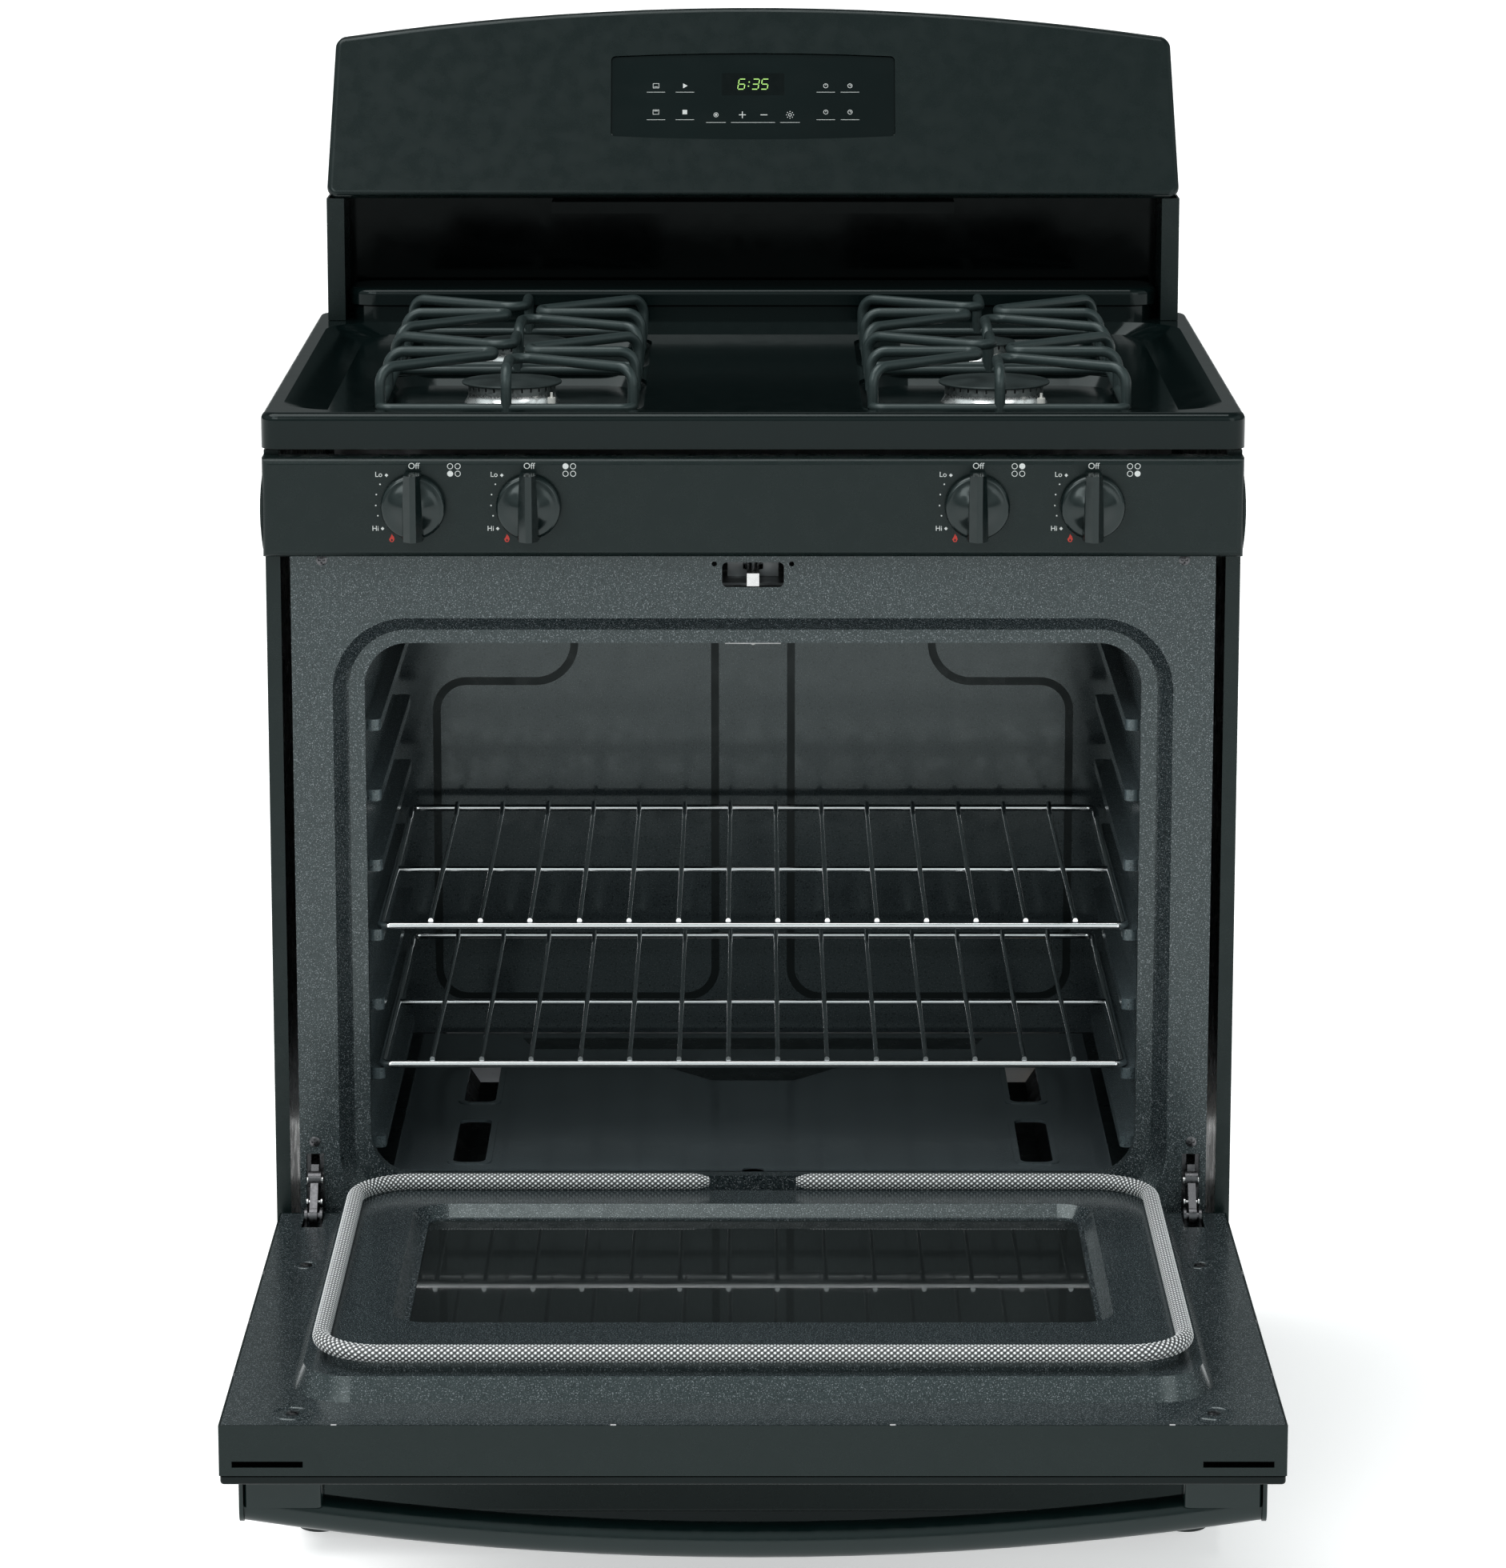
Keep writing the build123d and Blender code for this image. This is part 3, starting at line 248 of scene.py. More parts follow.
paint = (0.0036, 0.0070, 0.0068)
materials = {
    "panel_paint": enamel("panel_paint", paint, 0.27, 0.24, 0.35),
    "cooktop_enamel": enamel("cooktop_enamel", (0.0020, 0.0046, 0.0046), 0.14, 0.2, 0.15),
    "grey_porcelain": porcelain(
        "grey_porcelain", (0.015, 0.021, 0.023), (0.15, 0.165, 0.175), (0.005, 0.008, 0.009), 0.20, 0.015
    ),
    "cavity_porcelain": porcelain(
        "cavity_porcelain", (0.032, 0.041, 0.045), (0.13, 0.145, 0.155), (0.012, 0.016, 0.018), 0.14, -0.01
    ),
    "galvanised_steel": metal("galvanised_steel", (0.42, 0.43, 0.44), 0.42, 60),
    "bright_steel": metal("bright_steel", (0.62, 0.62, 0.62), 0.22),
    "dark_steel": metal("dark_steel", (0.10, 0.10, 0.105), 0.3),
    "burner_steel": metal("burner_steel", (0.4, 0.4, 0.4), 0.4, 90),
    "rack_chrome": metal("rack_chrome", (0.78, 0.79, 0.80), 0.10, 500, (1, 1, 1), 0.00001),
    "head_aluminium": metal("head_aluminium", (0.24, 0.26, 0.26), 0.42, 500),
    "burner_aluminium": metal("burner_aluminium", (0.86, 0.86, 0.86), 0.26, 700),
    "burner_enamel": enamel("burner_enamel", (0.019, 0.026, 0.026), 0.42, 0.35, 0.8),
    "grate_enamel": enamel("grate_enamel", (0.017, 0.026, 0.026), 0.36, 0.42, 0.9),
    "brass": metal("brass", (0.68, 0.48, 0.2), 0.28),
    "valve_steel": metal("valve_steel", (0.58, 0.58, 0.58), 0.3),
    "knob_plastic": moulded("knob_plastic", (0.0030, 0.0062, 0.0062), 0.2, 0.4),
    "handle_plastic": moulded("handle_plastic", (0.0018, 0.0058, 0.0056), 0.2, 0.34),
    "panel_glass": dark_glass("panel_glass", (0.0028, 0.0062, 0.0062), 0.1, 0.12),
    # the clear inner glass, coloured almost black as painted shade of the space behind it
    "clear_glass": dark_glass("clear_glass", (0.010, 0.012, 0.012), 0.02),
    "gasket_braid": braid_cloth(),
    "igniter_ceramic": moulded("igniter_ceramic", (0.75, 0.74, 0.7), 0.3),
    "feet_rubber": moulded("feet_rubber", (0.02, 0.02, 0.02), 0.6, depth=0.0001),
    "white_ink": printed("white_ink", (0.55, 0.57, 0.56)),
    "red_ink": printed("red_ink", (0.42, 0.03, 0.02)),
    "display_green": printed("display_green", (0.35, 0.62, 0.16), 0.6),
    "display_window": moulded("display_window", (0.0008, 0.0022, 0.0022), 0.2, 0.15),
    "shadow_enamel": enamel("shadow_enamel", (0.0045, 0.0064, 0.0068), 0.3, 0.25),
    # the backguard's back panel, far darker than the paint: painted shade of the recess it sits in
    "painted_recess_shade": enamel("painted_recess_shade", (0.0003, 0.0006, 0.0006), 0.1, 0.07, 0.1),
    # the cavity's liner porcelain in a lighter copy for the side walls: painted light
    "painted_light_wall_porcelain": porcelain(
        "painted_light_wall_porcelain", (0.070, 0.092, 0.100), (0.19, 0.21, 0.22), (0.020, 0.026, 0.030), 0.18, 0.0
    ),
    "floor_porcelain": porcelain(
        "floor_porcelain", (0.050, 0.062, 0.068), (0.075, 0.085, 0.09), (0.016, 0.021, 0.023), 0.13, -0.04
    ),
    "worn_steel": metal("worn_steel", (0.45, 0.45, 0.46), 0.33, 160),
}

# slots whose nodes don't all take the material of the same name
node_finish = {
    "cooktop": "cooktop_enamel",
    # painted shade of the backguard's recess
    "backguard_back_panel": "painted_recess_shade",
    "burner_heads": "head_aluminium",
    "oven_floor_panel": "floor_porcelain",
    # the base pan, seen only through the floor's gaps, in dark enamel as painted shade
    "oven_base_pan": "shadow_enamel",
    # side walls in the lighter copy of the liner porcelain, as painted light
    "oven_side_walls": "painted_light_wall_porcelain",
    "control_glass": "panel_glass",
    "door_front_panel": "panel_glass",
    "base_frame": "panel_paint",
    "door_hinges": "dark_steel",
    "hinge_pins": "dark_steel",
    "front_frame_screws": "dark_steel",
    "door_screws": "dark_steel",
}
slot_of = {part["node"]: part["material_slot"] for part in frame["record"]["subparts"]}
for node_name, node in nodes.items():
    finish = node_finish.get(node_name, slot_of[node_name])
    node.data.materials.clear()
    node.data.materials.append(materials["panel_paint" if finish == "black_enamel" else finish])


# ---------------------------------------------------------------- mesh helpers
def make_object(name, bm, material, body, smooth=40):
    """A finished piece from a bmesh: shaded smooth below the angle, riding on its body."""
    bmesh.ops.recalc_face_normals(bm, faces=bm.faces)
    mesh = bpy.data.meshes.new(name)
    bm.to_mesh(mesh)
    bm.free()
    piece = bpy.data.objects.new(name, mesh)
    bpy.context.scene.collection.objects.link(piece)
    mesh.materials.append(materials[material])
    mesh.shade_smooth()
    mesh.set_sharp_from_angle(angle=radians(smooth))
    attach(piece, body)
    return piece


def skin(bm, rings):
    """Faces between each ring of vertices and the next; a repeated vertex makes a triangle."""
    for first, second in zip(rings, rings[1:]):
        for i in range(len(first)):
            j = (i + 1) % len(first)
            bm.faces.new(list(dict.fromkeys((first[i], first[j], second[j], second[i]))))


def circle(x, y, radius, count=20):
    """The outline of a circle, as count points."""
    angles = [2 * pi * i / count for i in range(count)]
    return [(x + radius * cos(angle), y + radius * sin(angle)) for angle in angles]


def prism(bm, outline, depth, place=Matrix.Identity(4), holes=()):
    """A closed plate from a 2D outline, extruded by depth along the place's Z, with optional holes."""
    loops = [outline, *holes]
    low, high = [
        [[bm.verts.new(place @ Vector((x, y, z))) for x, y in loop] for loop in loops] for z in (0, depth)
    ]
    for bottom, top in zip(low, high):
        for i in range(len(bottom)):
            j = (i + 1) % len(bottom)
            bm.faces.new((bottom[i], bottom[j], top[j], top[i]))
    for rings in (low, high):
        if not holes:
            bm.faces.new(rings[0])
            continue
        edges = [
            bm.edges.get((ring[i], ring[(i + 1) % len(ring)])) for ring in rings for i in range(len(ring))
        ]
        bmesh.ops.triangle_fill(bm, edges=edges, use_beauty=True)


def lathe(bm, profile, place=Matrix.Identity(4), segments=40):
    """A solid of revolution about the place's Z from (radius, height) points; ends on the axis close."""
    rings = []
    for radius, height in profile:
        if radius == 0:
            rings.append([bm.verts.new(place @ Vector((0, 0, height)))] * segments)
            continue
        ring = circle(0, 0, radius, segments)
        rings.append([bm.verts.new(place @ Vector((x, y, height))) for x, y in ring])
    skin(bm, rings)


def bar(x, y, width, height):
    """The outline of a rectangle about its centre."""
    return [(x - width / 2, y - height / 2), (x + width / 2, y - height / 2),
            (x + width / 2, y + height / 2), (x - width / 2, y + height / 2)]


def facing(origin, normal, up=(0, 0, 1)):
    """A matrix whose Z is the normal and whose Y points up along the surface."""
    z = Vector(normal).normalized()
    x = Vector(up).cross(z).normalized()
    y = z.cross(x)
    place = Matrix((x, y, z)).transposed().to_4x4()
    place.translation = origin
    return place


def lettering(bm, text, size, x, y, place, depth):
    """Generic dial lettering as thin raised solids."""
    curve = bpy.data.curves.new("lettering", "FONT")
    curve.body, curve.size, curve.extrude = text, size, depth / 2
    curve.align_x, curve.align_y = "CENTER", "CENTER"
    holder = bpy.data.objects.new("lettering", curve)
    mesh = bpy.data.meshes.new_from_object(holder)
    mesh.transform(place @ Matrix.Translation((x, y, depth / 2)))
    bm.from_mesh(mesh)
    bpy.data.objects.remove(holder)
    bpy.data.meshes.remove(mesh)


# ---------------------------------------------------------------- braided door gasket
def rounded_path(corners, radii, step):
    """Evenly stepped points of an open path of straight runs and quarter-circle arcs."""
    points = [Vector(corners[0])]
    for before, corner, after, radius in zip(corners, corners[1:], corners[2:], radii):
        corner = Vector(corner)
        incoming = (corner - Vector(before)).normalized()
        outgoing = (Vector(after) - corner).normalized()
        start = corner - incoming * radius
        centre = corner - incoming * radius + outgoing * radius
        arms = -outgoing * radius, incoming * radius
        count = max(2, round((start - points[-1]).length / step))
        points += [points[-1].lerp(start, i / count) for i in range(1, count)]
        turns = max(4, round(radius * pi / 2 / step))
        for i in range(turns + 1):
            angle = pi / 2 * i / turns
            points.append(centre + arms[0] * cos(angle) + arms[1] * sin(angle))
    end = Vector(corners[-1])
    count = max(2, round((end - points[-1]).length / step))
    return points + [points[-1].lerp(end, i / count) for i in range(1, count + 1)]


def braided_gasket():
    """The tubular braid round the oven door, with crossed strands standing out of its surface."""
    radius = (gasket_high.z - gasket_low.z) / 2
    left, right = gasket_low.x + radius, gasket_high.x - radius
    near, far = gasket_high.y - radius, gasket_low.y + radius
    level = gasket_high.z - radius
    half_gap, corner_radius, step = 0.034, 0.046, 0.0007  # open middle of the near run, path step
    around, strands, pitch, relief = 40, 9, 0.0046, 0.0011  # points round the tube, weave
    taper, end_thinning = 0.014, 0.5  # length and share by which the two ends get thinner
    corners = [(half_gap, near, level), (right, near, level), (right, far, level), (left, far, level),
               (left, near, level), (-half_gap, near, level)]
    path = rounded_path(corners, [corner_radius] * 4, step)
    bm = bmesh.new()
    painted_strand_shade = bm.verts.layers.float.new("painted_strand_shade")
    rings, travelled = [], 0.0
    length = sum((b - a).length for a, b in zip(path, path[1:]))
    for i, point in enumerate(path):
        ahead, behind = path[min(i + 1, len(path) - 1)], path[max(i - 1, 0)]
        travelled += (point - behind).length if i else 0
        sideways = (ahead - behind).normalized().cross(Vector((0, 0, 1)))
        from_end = min(travelled, length - travelled)
        body = radius * (1 - end_thinning * max(0, 1 - from_end / taper) ** 2)
        ring = []
        for j in range(around):
            angle = 2 * pi * j / around
            turn = 2 * pi * travelled / pitch
            one, other = strands * angle / 2 + turn / 2, strands * angle / 2 - turn / 2
            weave = abs(cos(one) * cos(other)) ** 0.85
            out = body - relief * (1 - weave)
            vert = bm.verts.new(point + sideways * out * cos(angle) + Vector((0, 0, out * sin(angle))))
            # the weave's height, which drives the braid's painted light and shade
            vert[painted_strand_shade] = weave
            ring.append(vert)
        rings.append(ring)
    skin(bm, rings)
    for ring in (rings[0], rings[-1]):
        bm.faces.new(ring)
    gasket = make_object("door_gasket_braid", bm, "gasket_braid", "door", 180)
    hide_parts("door_gasket")


braided_gasket()


# ---------------------------------------------------------------- printed marks on the control panel
ink = 0.12 * MM  # thickness of a printed mark
panel_place = facing(Vector((0, panel_face + 0.02 * MM, 0)), (0, -1, 0))


def dial_marks():
    """Off, Lo, Hi, dots and burner circles beside each knob, and a small flame."""
    white, red = bmesh.new(), bmesh.new()
    filled = {"left_front": 2, "left_rear": 0, "right_rear": 1, "right_front": 3}  # circle of its own burner
    flame = (
        (0, 3.4), (1.5, 1.2), (2.1, -0.8), (1.3, -2.6), (0, -3.1), (-1.3, -2.6), (-2.1, -0.8), (-0.9, 0.9)
    )
    core = ((0.1, -0.2), (0.9, -1.5), (0.5, -2.3), (-0.4, -2.3), (-0.8, -1.4))
    for name, (low, high) in knobs.items():
        x, z = (low.x + high.x) / 2, high.z - 27 * MM

        def at(dx, dz):
            return x + dx * MM, z + dz * MM

        lettering(white, "Off", 6.6 * MM, *at(0.5, 31), panel_place, ink)
        lettering(white, "Lo", 5.6 * MM, *at(-26.5, 24.5), panel_place, ink)
        lettering(white, "Hi", 5.6 * MM, *at(-29.5, -17.5), panel_place, ink)
        for dx, dz in ((-20.5, 24), (-24, -17.5)):
            prism(white, circle(*at(dx, dz), 1.4 * MM, 4), ink, panel_place)
        for dx, dz in ((-25.5, 17), (-28.5, 9), (-29, 0.5), (-27.5, -7.5)):
            prism(white, circle(*at(dx, dz), 0.6 * MM, 12), ink, panel_place)
        for i, (dx, dz) in enumerate(((28.5, 31), (34.3, 31), (28.5, 25.2), (34.3, 25.2))):
            hole = () if i == filled[name] else (circle(*at(dx, dz), 1.8 * MM),)
            prism(white, circle(*at(dx, dz), 2.3 * MM), ink, panel_place, hole)
        outline, hole = [[at(a - 17, b - 25) for a, b in loop] for loop in (flame, core)]
        prism(red, outline, ink, panel_place, (hole,))
    make_object("dial_marks", white, "white_ink", "cabinet")
    make_object("dial_flames", red, "red_ink", "cabinet")


dial_marks()


# ---------------------------------------------------------------- control glass: clock and keys
lean = radians(24.7)  # the backguard's face, from upright
face_origin = Vector((0, front + 553 * MM, 1020 * MM))  # middle of that face's lower edge
glass_sink = 1.62 * MM  # the glass's surface lies this far behind the face
glass_mid = 93.5 * MM  # the glass's middle, up the face from its lower edge
face_place = facing(face_origin, (0, -cos(lean), sin(lean))) @ Matrix.Translation((0, 0, -glass_sink))


def on_glass(x, y):
    """A point on the glass, from millimetres right and up from its middle."""
    return x * MM, glass_mid + y * MM


def clock_digits():
    """A plain seven-segment clock time on its darker window."""
    segments = {"a": (0, 1, True), "g": (0, 0, True), "d": (0, -1, True),
                "f": (-0.5, 0.5, False), "b": (0.5, 0.5, False),
                "e": (-0.5, -0.5, False), "c": (0.5, -0.5, False)}
    shapes = {"6": "acdefg", "3": "abcdg", "5": "acdfg"}
    width, height, stroke, slant, gap = 5.6, 4.6, 0.75, 0.16, 1.1  # digit width, half its height, in mm
    row = 11.5  # height of the digits above the glass's middle
    bm = bmesh.new()
    for digit, centre in (("6", -9.8), ("3", 2.2), ("5", 10.2)):
        for key in shapes[digit]:
            x, y, level = segments[key]
            long_side = (width - gap) if level else (height - gap)
            size = (long_side, stroke) if level else (stroke, long_side)
            outline = bar(x * width, y * height, *size)
            tilted = [on_glass(centre + a + b * slant, row + b) for a, b in outline]
            prism(bm, tilted, ink * 2, face_place)
    for y in (-1.9, 1.9):
        prism(bm, circle(*on_glass(-3.6 + y * slant, row + y), 0.6 * MM, 12), ink * 2, face_place)
    make_object("clock_digits", bm, "display_green", "cabinet")
    window = bmesh.new()
    prism(window, [on_glass(a, b) for a, b in bar(0, row, 54, 20)], ink * 0.8, face_place)
    make_object("clock_window", window, "display_window", "cabinet")


def key_marks():
    """Generic key symbols: bars, rings, arrows and plus and minus signs over short underlines."""
    bm = bmesh.new()

    def plate(outline, holes=()):
        loops = [[on_glass(a, b) for a, b in loop] for loop in (outline, *holes)]
        prism(bm, loops[0], ink, face_place, loops[1:])

    def ring(x, y, radius=2.1):
        plate(circle(x, y, radius), (circle(x, y, radius - 0.45),))

    def oven_sign(x, y, heat):
        plate(bar(x, y, 5.4, 4.4), (bar(x, y, 4.6, 3.6),))
        plate(bar(x, y + heat, 3.2, 0.5))

    columns = {"bake": -84, "start": -59, "clean": -32, "plus": -9.2,
               "minus": 9.5, "light": 32, "timer": 63, "clock": 84}
    outer = [columns[name] for name in ("bake", "start", "timer", "clock")]
    for x in outer:
        plate(bar(x, 4.2, 16, 0.35))
        plate(bar(x, -21, 16, 0.35))
    for x in (columns["clean"], columns["light"]):
        plate(bar(x, -23.5, 17, 0.35))
    plate(bar(0, -23.5, 38, 0.35))
    oven_sign(columns["bake"], 10, -1)
    oven_sign(columns["bake"], -14, 1)
    x = columns["start"]
    plate([(x - 1.6, 12.2), (x - 1.6, 7.8), (x + 2.4, 10)])
    plate(bar(x, -14, 4, 4))
    ring(columns["clean"], -16.5)
    plate(bar(columns["clean"], -16.5, 1.6, 1.6))
    plate(bar(columns["plus"], -16.5, 6, 0.7))
    for y in (-14.75, -18.25):
        plate(bar(columns["plus"], y, 0.7, 2.75))
    plate(bar(columns["minus"], -16.5, 6, 0.7))
    ring(columns["light"], -16.5, 1.5)
    for step in range(8):
        angle = step * pi / 4
        plate(circle(columns["light"] + 3 * cos(angle), -16.5 + 3 * sin(angle), 0.45, 8))
    for y in (10, -14):
        for name in ("timer", "clock"):
            x = columns[name]
            ring(x, y)
            plate(bar(x, y + 0.75, 0.4, 1.4))
            if name == "clock":
                plate(bar(x + 0.85, y, 1.2, 0.4))
    make_object("key_marks", bm, "white_ink", "cabinet")


clock_digits()
key_marks()


# ---------------------------------------------------------------- screws
def cross_screw(bm, place, radius, height):
    """A domed screw head with a washer edge and a cross recess."""
    rings, segments = 14, 48
    recess, half_slot, slot_reach = height * 0.75, radius * 0.13, radius * 0.62
    levels = []
    sag = 0.55  # share of the height by which the dome falls to its edge
    for i in range(rings + 1):
        r = radius * i / rings
        ring = []
        for j in range(segments):
            angle = 2 * pi * j / segments
            x, y = r * cos(angle), r * sin(angle)
            dome = height * (1 - (r / radius) ** 2 * sag)
            in_slot = min(abs(x), abs(y)) < half_slot and max(abs(x), abs(y)) < slot_reach
            ring.append(bm.verts.new(place @ Vector((x, y, dome - (recess if in_slot else 0)))))
            if i == 0:
                ring = ring * segments
                break
        levels.append(ring)
    levels.append([bm.verts.new(place @ Vector((x, y, 0))) for x, y in circle(0, 0, radius, segments)])
    skin(bm, levels)
    bm.faces.new(levels[-1])


def solid_boxes(node):
    """Low and high corner of each separate solid of a CAD node, from its mesh's islands."""
    bm = bmesh.new()
    bm.from_mesh(nodes[node].data)
    bmesh.ops.remove_doubles(bm, verts=bm.verts, dist=1e-6)
    seen, boxes = set(), []
    for start in bm.verts:
        if start in seen:
            continue
        island, stack = [], [start]
        seen.add(start)
        while stack:
            vert = stack.pop()
            island.append(vert.co.copy())
            for edge in vert.link_edges:
                other = edge.other_vert(vert)
                if other not in seen:
                    seen.add(other)
                    stack.append(other)
        low = Vector([min(v[i] for v in island) for i in range(3)])
        high = Vector([max(v[i] for v in island) for i in range(3)])
        boxes.append((low, high))
    bm.free()
    return boxes


def screws():
    """Cross-head screws in the front frame and in the door's flange."""
    bm = bmesh.new()
    for low, high in solid_boxes("front_frame_screws"):
        middle = (low + high) / 2
        place = facing(Vector((middle.x, high.y, middle.z)), (0, -1, 0))
        cross_screw(bm, place, (high.x - low.x) / 2, high.y - low.y)
    frame_screws = make_object("frame_screw_heads", bm, "dark_steel", "cabinet")
    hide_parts("front_frame_screws")
    bm = bmesh.new()
    for low, high in solid_boxes("door_screws"):
        middle = (low + high) / 2
        place = facing(Vector((middle.x, middle.y, low.z)), (0, 0, 1), (0, 1, 0))
        cross_screw(bm, place, (high.x - low.x) / 2, high.z - low.z)
    door_screw_heads = make_object("door_screw_heads", bm, "dark_steel", "door")
    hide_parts("door_screws")


screws()


# ---------------------------------------------------------------- pressed details of the cavity
def painted_groove_shade():
    """The two pressed loops of the oven's back wall: painted shade, as darker bands laid in their grooves."""
    wall_low, wall_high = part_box("oven_back_wall")
    bm = bmesh.new()
    half_band, sink, thickness = 3.4 * MM, 0.25 * MM, 0.5 * MM
    place = facing(Vector((0, wall_low.y + sink, 0)), (0, -1, 0))
    top = wall_high.z - 3 * MM
    turns = ((155, 606), (275, 606), (275, 324), (33, 324))  # corners of the right-hand loop
    for sign in (-1, 1):
        corners = [(sign * x * MM, z * MM, 0) for x, z in turns]
        corners = [(corners[0][0], top, 0), *corners, (corners[-1][0], top, 0)]
        path = rounded_path(corners, [34 * MM, 26 * MM, 26 * MM, 26 * MM], 3 * MM)
        sides = []
        for i, point in enumerate(path):
            along = (path[min(i + 1, len(path) - 1)] - path[max(i - 1, 0)]).normalized()
            across = Vector((-along.y, along.x, 0)) * half_band
            sides.append((point - across, point + across))
        rings = [
            [bm.verts.new(place @ (p + Vector((0, 0, z)))) for p, z in
             ((left, -thickness), (right, -thickness), (right, 0), (left, 0))]
            for left, right in sides
        ]
        skin(bm, rings)
        bm.faces.new(rings[0])
        bm.faces.new(rings[-1])
    make_object("painted_groove_shade", bm, "shadow_enamel", "cabinet")


def floor_shapes():
    """The dark stamped band and tongue at the rear of the oven floor, and the lips of its slots."""
    floor_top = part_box("oven_floor_panel")[1].z
    bm = bmesh.new()
    place = Matrix.Translation((0, 0, floor_top + 0.02 * MM))

    def deep(depth):
        """A place in Y, from its depth in millimetres behind the front frame."""
        return front + depth * MM

    for outline in (
        ((-190, 440), (190, 440), (201, 477), (-201, 477)),
        ((-34, 333), (34, 333), (90, 396), (-90, 396)),
    ):
        prism(bm, [(x * MM, deep(y)) for x, y in outline], 0.2 * MM, place)
    make_object("floor_stamping", bm, "shadow_enamel", "cabinet")
    bm = bmesh.new()
    for x in (-229, 229):
        for y in (138, 325):
            outer, inner = [
                [(px * MM, deep(py)) for px, py in slot_outline(x, y, half_x, half_y)]
                for half_x, half_y in ((18, 70), (13.2, 65.2))
            ]
            prism(bm, outer, 0.9 * MM, place, (inner,))
    make_object("floor_slot_lips", bm, "floor_porcelain", "cabinet")


def slot_outline(x, y, half_x, half_y, count=10):
    """A rounded rectangle outline whose corner radius is 0.6 of its half width."""
    radius = 0.6 * half_x
    points = []
    for quarter, (sx, sy) in enumerate(((1, 1), (-1, 1), (-1, -1), (1, -1))):
        for i in range(count + 1):
            angle = (quarter + i / count) * pi / 2
            points.append((x + sx * (half_x - radius) + radius * cos(angle),
                           y + sy * (half_y - radius) + radius * sin(angle)))
    return points


painted_groove_shade()
floor_shapes()


# ---------------------------------------------------------------- small fittings
def door_dimples():
    """Pressed rings round the door's four screws."""
    bm = bmesh.new()
    for low, high in solid_boxes("door_screws"):
        middle = (low + high) / 2
        near = middle.y < (door_low.y + door_high.y) / 2
        outer, bead = (15 * MM, 1.1 * MM) if near else (9.5 * MM, 0.8 * MM)
        place = Matrix.Translation((middle.x, middle.y, low.z - 0.05 * MM))
        wide = 2.6 * bead
        profile = [(outer - wide, 0), (outer - 0.75 * wide, 0.7 * bead), (outer - 0.5 * wide, bead),
                   (outer - 0.25 * wide, 0.7 * bead), (outer, 0), (outer - wide, 0)]
        lathe(bm, profile, place, 56)
    bmesh.ops.remove_doubles(bm, verts=bm.verts, dist=1e-6)
    make_object("door_dimples", bm, "grey_porcelain", "door", 60)


def hinge_rollers():
    """Bright spools on the hinge arms, two at each side."""
    bm = bmesh.new()
    spool = [(0, -6.2), (3.2, -6.2), (3.2, -5), (1.8, -4.4), (1.8, 4.4), (3.2, 5), (3.2, 6.2), (0, 6.2)]
    for sign in (-1, 1):
        for depth, z in ((-3, 300), (-13, 285)):
            place = facing(Vector((sign * 347 * MM, front + depth * MM, z * MM)), (1, 0, 0))
            lathe(bm, [(r * MM, h * MM) for r, h in spool], place, 20)
    make_object("hinge_rollers", bm, "bright_steel", "cabinet", 30)


def drawer_lip():
    """The drawer front's thin lower lip, which bows down like the door's handle above it."""
    low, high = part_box("drawer_front")
    half, bow, count = 330 * MM, 17 * MM, 48
    edge = [-half + 2 * half * i / count for i in range(count + 1)]
    outline = [(x, low.z - bow * (1 - (x / half) ** 2)) for x in edge]
    outline += [(half, low.z + 2 * MM), (-half, low.z + 2 * MM)]
    bm = bmesh.new()
    prism(bm, outline, 2 * MM, facing(Vector((0, low.y + 5 * MM, 0)), (0, -1, 0)))
    make_object("drawer_lip", bm, "shadow_enamel", "drawer")


def edge_clips():
    """Small spring clips that hold the door's inner panel to its shell."""
    bm = bmesh.new()
    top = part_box("door_screws")[0].z
    inset = 1.2 * MM
    for x in (-294, -98, 98, 294):
        place = Matrix.Translation((x * MM, door_low.y + inset, top))
        prism(bm, bar(0, 0, 4 * MM, 1.6 * MM), 0.9 * MM, place)
    for x in (door_low.x + inset, door_high.x - inset):
        for depth in (-175, -300, -430):
            place = Matrix.Translation((x, front + depth * MM, top))
            prism(bm, bar(0, 0, 1.6 * MM, 5 * MM), 0.9 * MM, place)
    make_object("door_edge_clips", bm, "worn_steel", "door")


door_dimples()
hinge_rollers()
drawer_lip()
edge_clips()


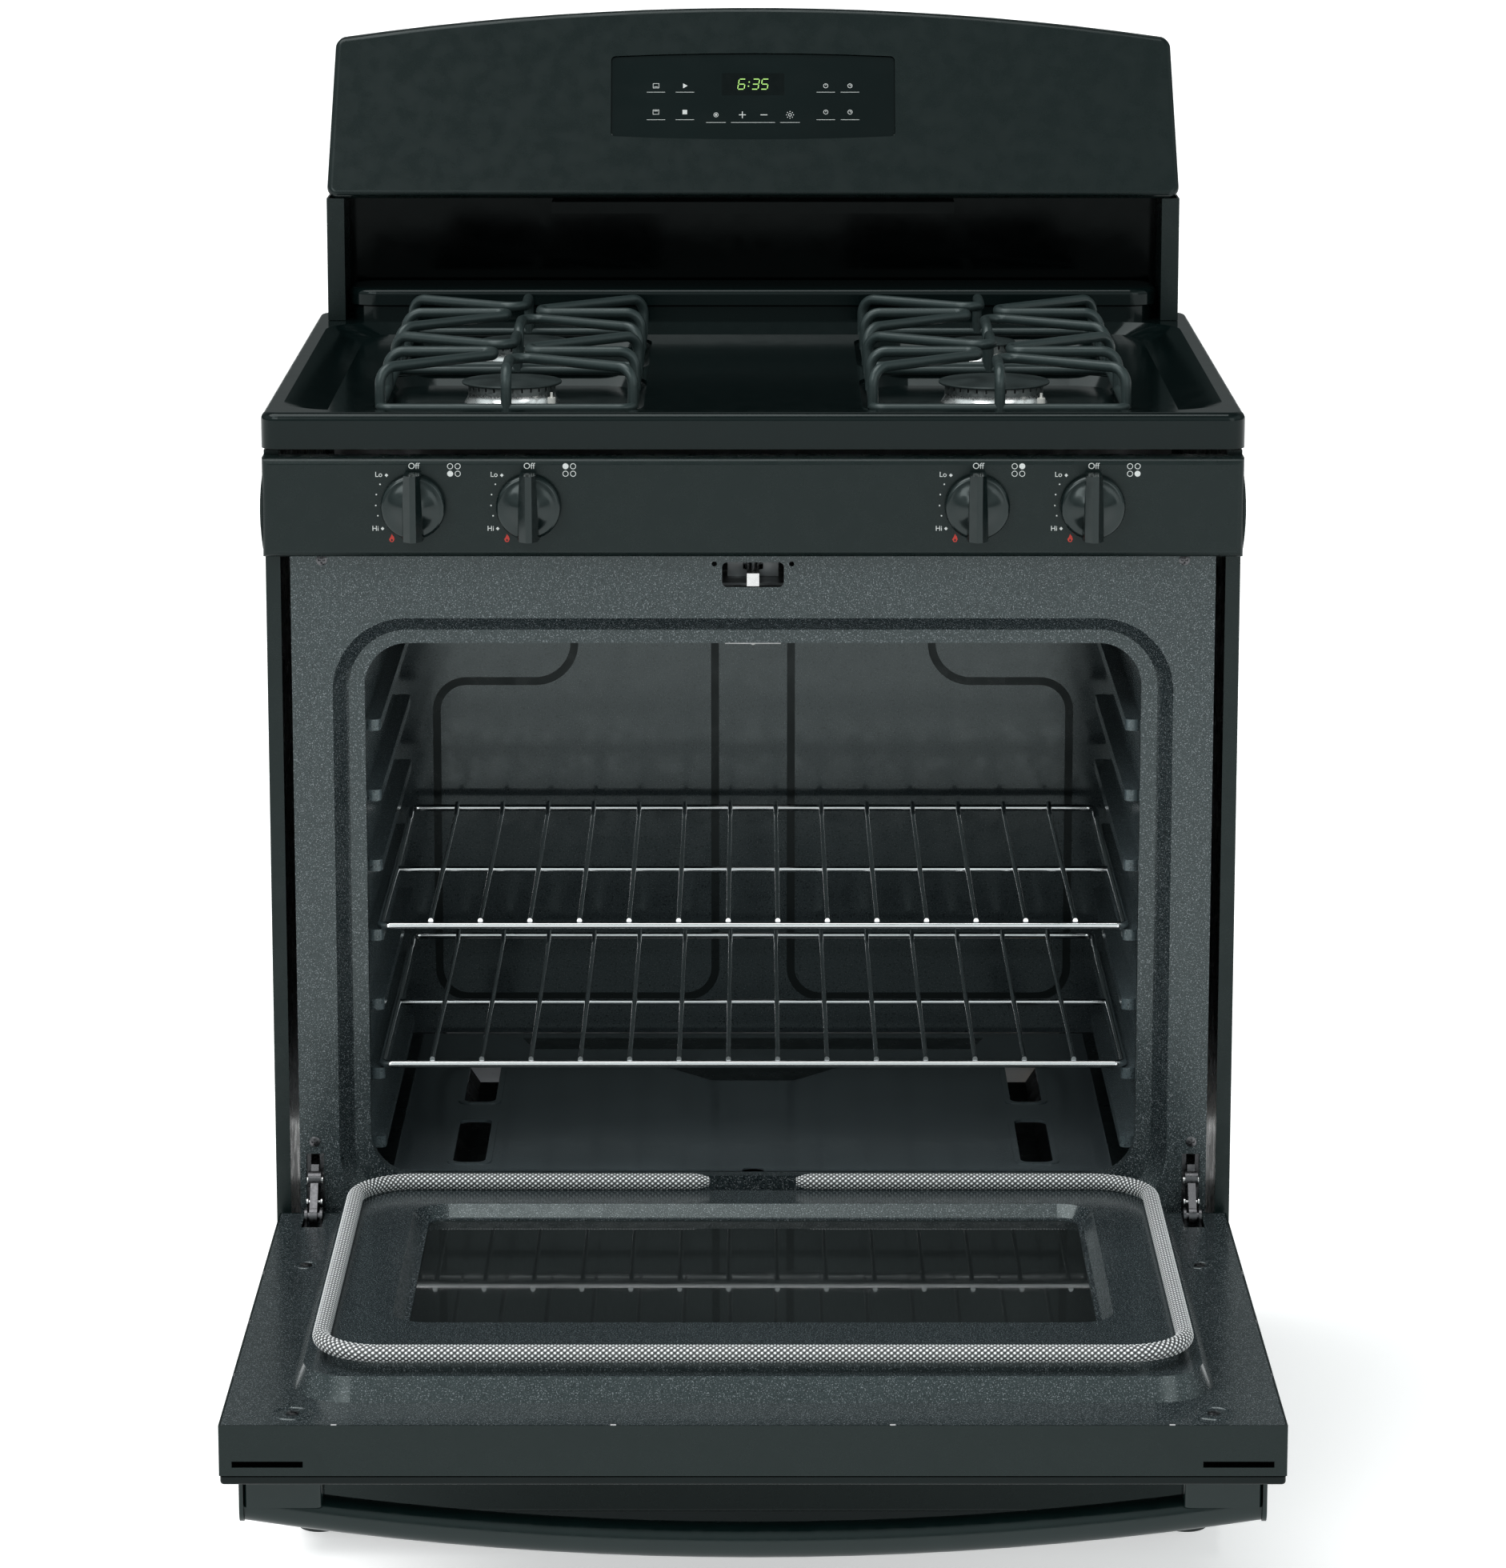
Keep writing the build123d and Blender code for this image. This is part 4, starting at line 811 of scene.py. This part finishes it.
# ---------------------------------------------------------------- stage, light and camera
def studio():
    """A pale floor, a soft surround that is brightest some way above the horizon, and large soft lights."""
    bm = bmesh.new()
    bmesh.ops.create_grid(bm, x_segments=2, y_segments=2, size=40)
    mesh = bpy.data.meshes.new("floor")
    bm.to_mesh(mesh)
    bm.free()
    floor = bpy.data.objects.new("floor", mesh)
    bpy.context.scene.collection.objects.link(floor)
    finish = new_material("floor_paper", (0.86, 0.86, 0.86), 0.9, specular=0.1,
                          Emission_Color=(1, 1, 1, 1), Emission_Strength=0.5)
    drive(finish, "Roughness", spread(finish, noise(finish, 3, 2), 0.85, 0.95))
    mesh.materials.append(finish)

    world = bpy.data.worlds.new("studio")
    bpy.context.scene.world = world
    world.use_nodes = True
    tree = world.node_tree
    place = tree.nodes.new("ShaderNodeTexCoord")
    split = tree.nodes.new("ShaderNodeSeparateXYZ")
    lift = tree.nodes.new("ShaderNodeValToRGB")
    elements = lift.color_ramp.elements
    while len(elements) < 5:
        elements.new(0.5)
    levels = ((0, 0.5), (0.1, 0.6), (0.35, 1.0), (0.62, 0.9), (0.82, 0.28))  # from the horizon up
    for element, (position, level) in zip(elements, levels):
        element.position = position
        element.color = (0.9 * level, level, level, 1)
    link(tree, place.outputs["Generated"], split.inputs["Vector"])
    link(tree, split.outputs["Z"], lift.inputs["Fac"])
    shade = tree.nodes.new("ShaderNodeMapRange")
    limits = {"From Min": -0.1, "From Max": 0.5, "To Min": 0.95, "To Max": 0.22}  # darker towards the back
    for socket, value in limits.items():
        shade.inputs[socket].default_value = value
    link(tree, split.outputs["Y"], shade.inputs["Value"])
    link(tree, lift.outputs["Color"], tree.nodes["Background"].inputs["Color"])
    link(tree, shade.outputs["Result"], tree.nodes["Background"].inputs["Strength"])

    sun = bpy.data.lights.new("daylight", "SUN")
    sun.energy, sun.angle = 2.3, radians(50)
    sun_holder = bpy.data.objects.new("daylight", sun)
    sun_holder.rotation_euler = Vector((-0.3, -0.12, 0.95)).to_track_quat("Z", "Y").to_euler()
    bpy.context.scene.collection.objects.link(sun_holder)

    target = Vector((0, 0, 0.6))
    for name, place, size, energy in (
        ("key", (-1.8, -3.0, 3.0), (2.2, 1.6), 40),
        ("fill", (2.2, -3.2, 1.8), (1.6, 2.2), 16),
    ):
        lamp = bpy.data.lights.new(name, "AREA")
        lamp.shape = "RECTANGLE"
        lamp.size, lamp.size_y = size
        lamp.energy = energy
        holder = bpy.data.objects.new(name, lamp)
        holder.location = place
        holder.rotation_euler = (target - Vector(place)).to_track_quat("-Z", "Y").to_euler()
        bpy.context.scene.collection.objects.link(holder)


def camera():
    """A long lens, slightly above the cooktop, looking down at the open door."""
    distance, height, downward = 4.418, 1.5367, radians(11.834)
    lens = bpy.data.cameras.new("camera")
    lens.sensor_width = 36
    lens.lens = 131.19
    lens.clip_end = 200
    holder = bpy.data.objects.new("camera", lens)
    holder.location = (0, -distance, height)
    holder.rotation_euler = (pi / 2 - downward, 0, 0)
    bpy.context.scene.collection.objects.link(holder)
    bpy.context.scene.camera = holder


studio()
camera()
bpy.context.scene.view_settings.view_transform = "Standard"
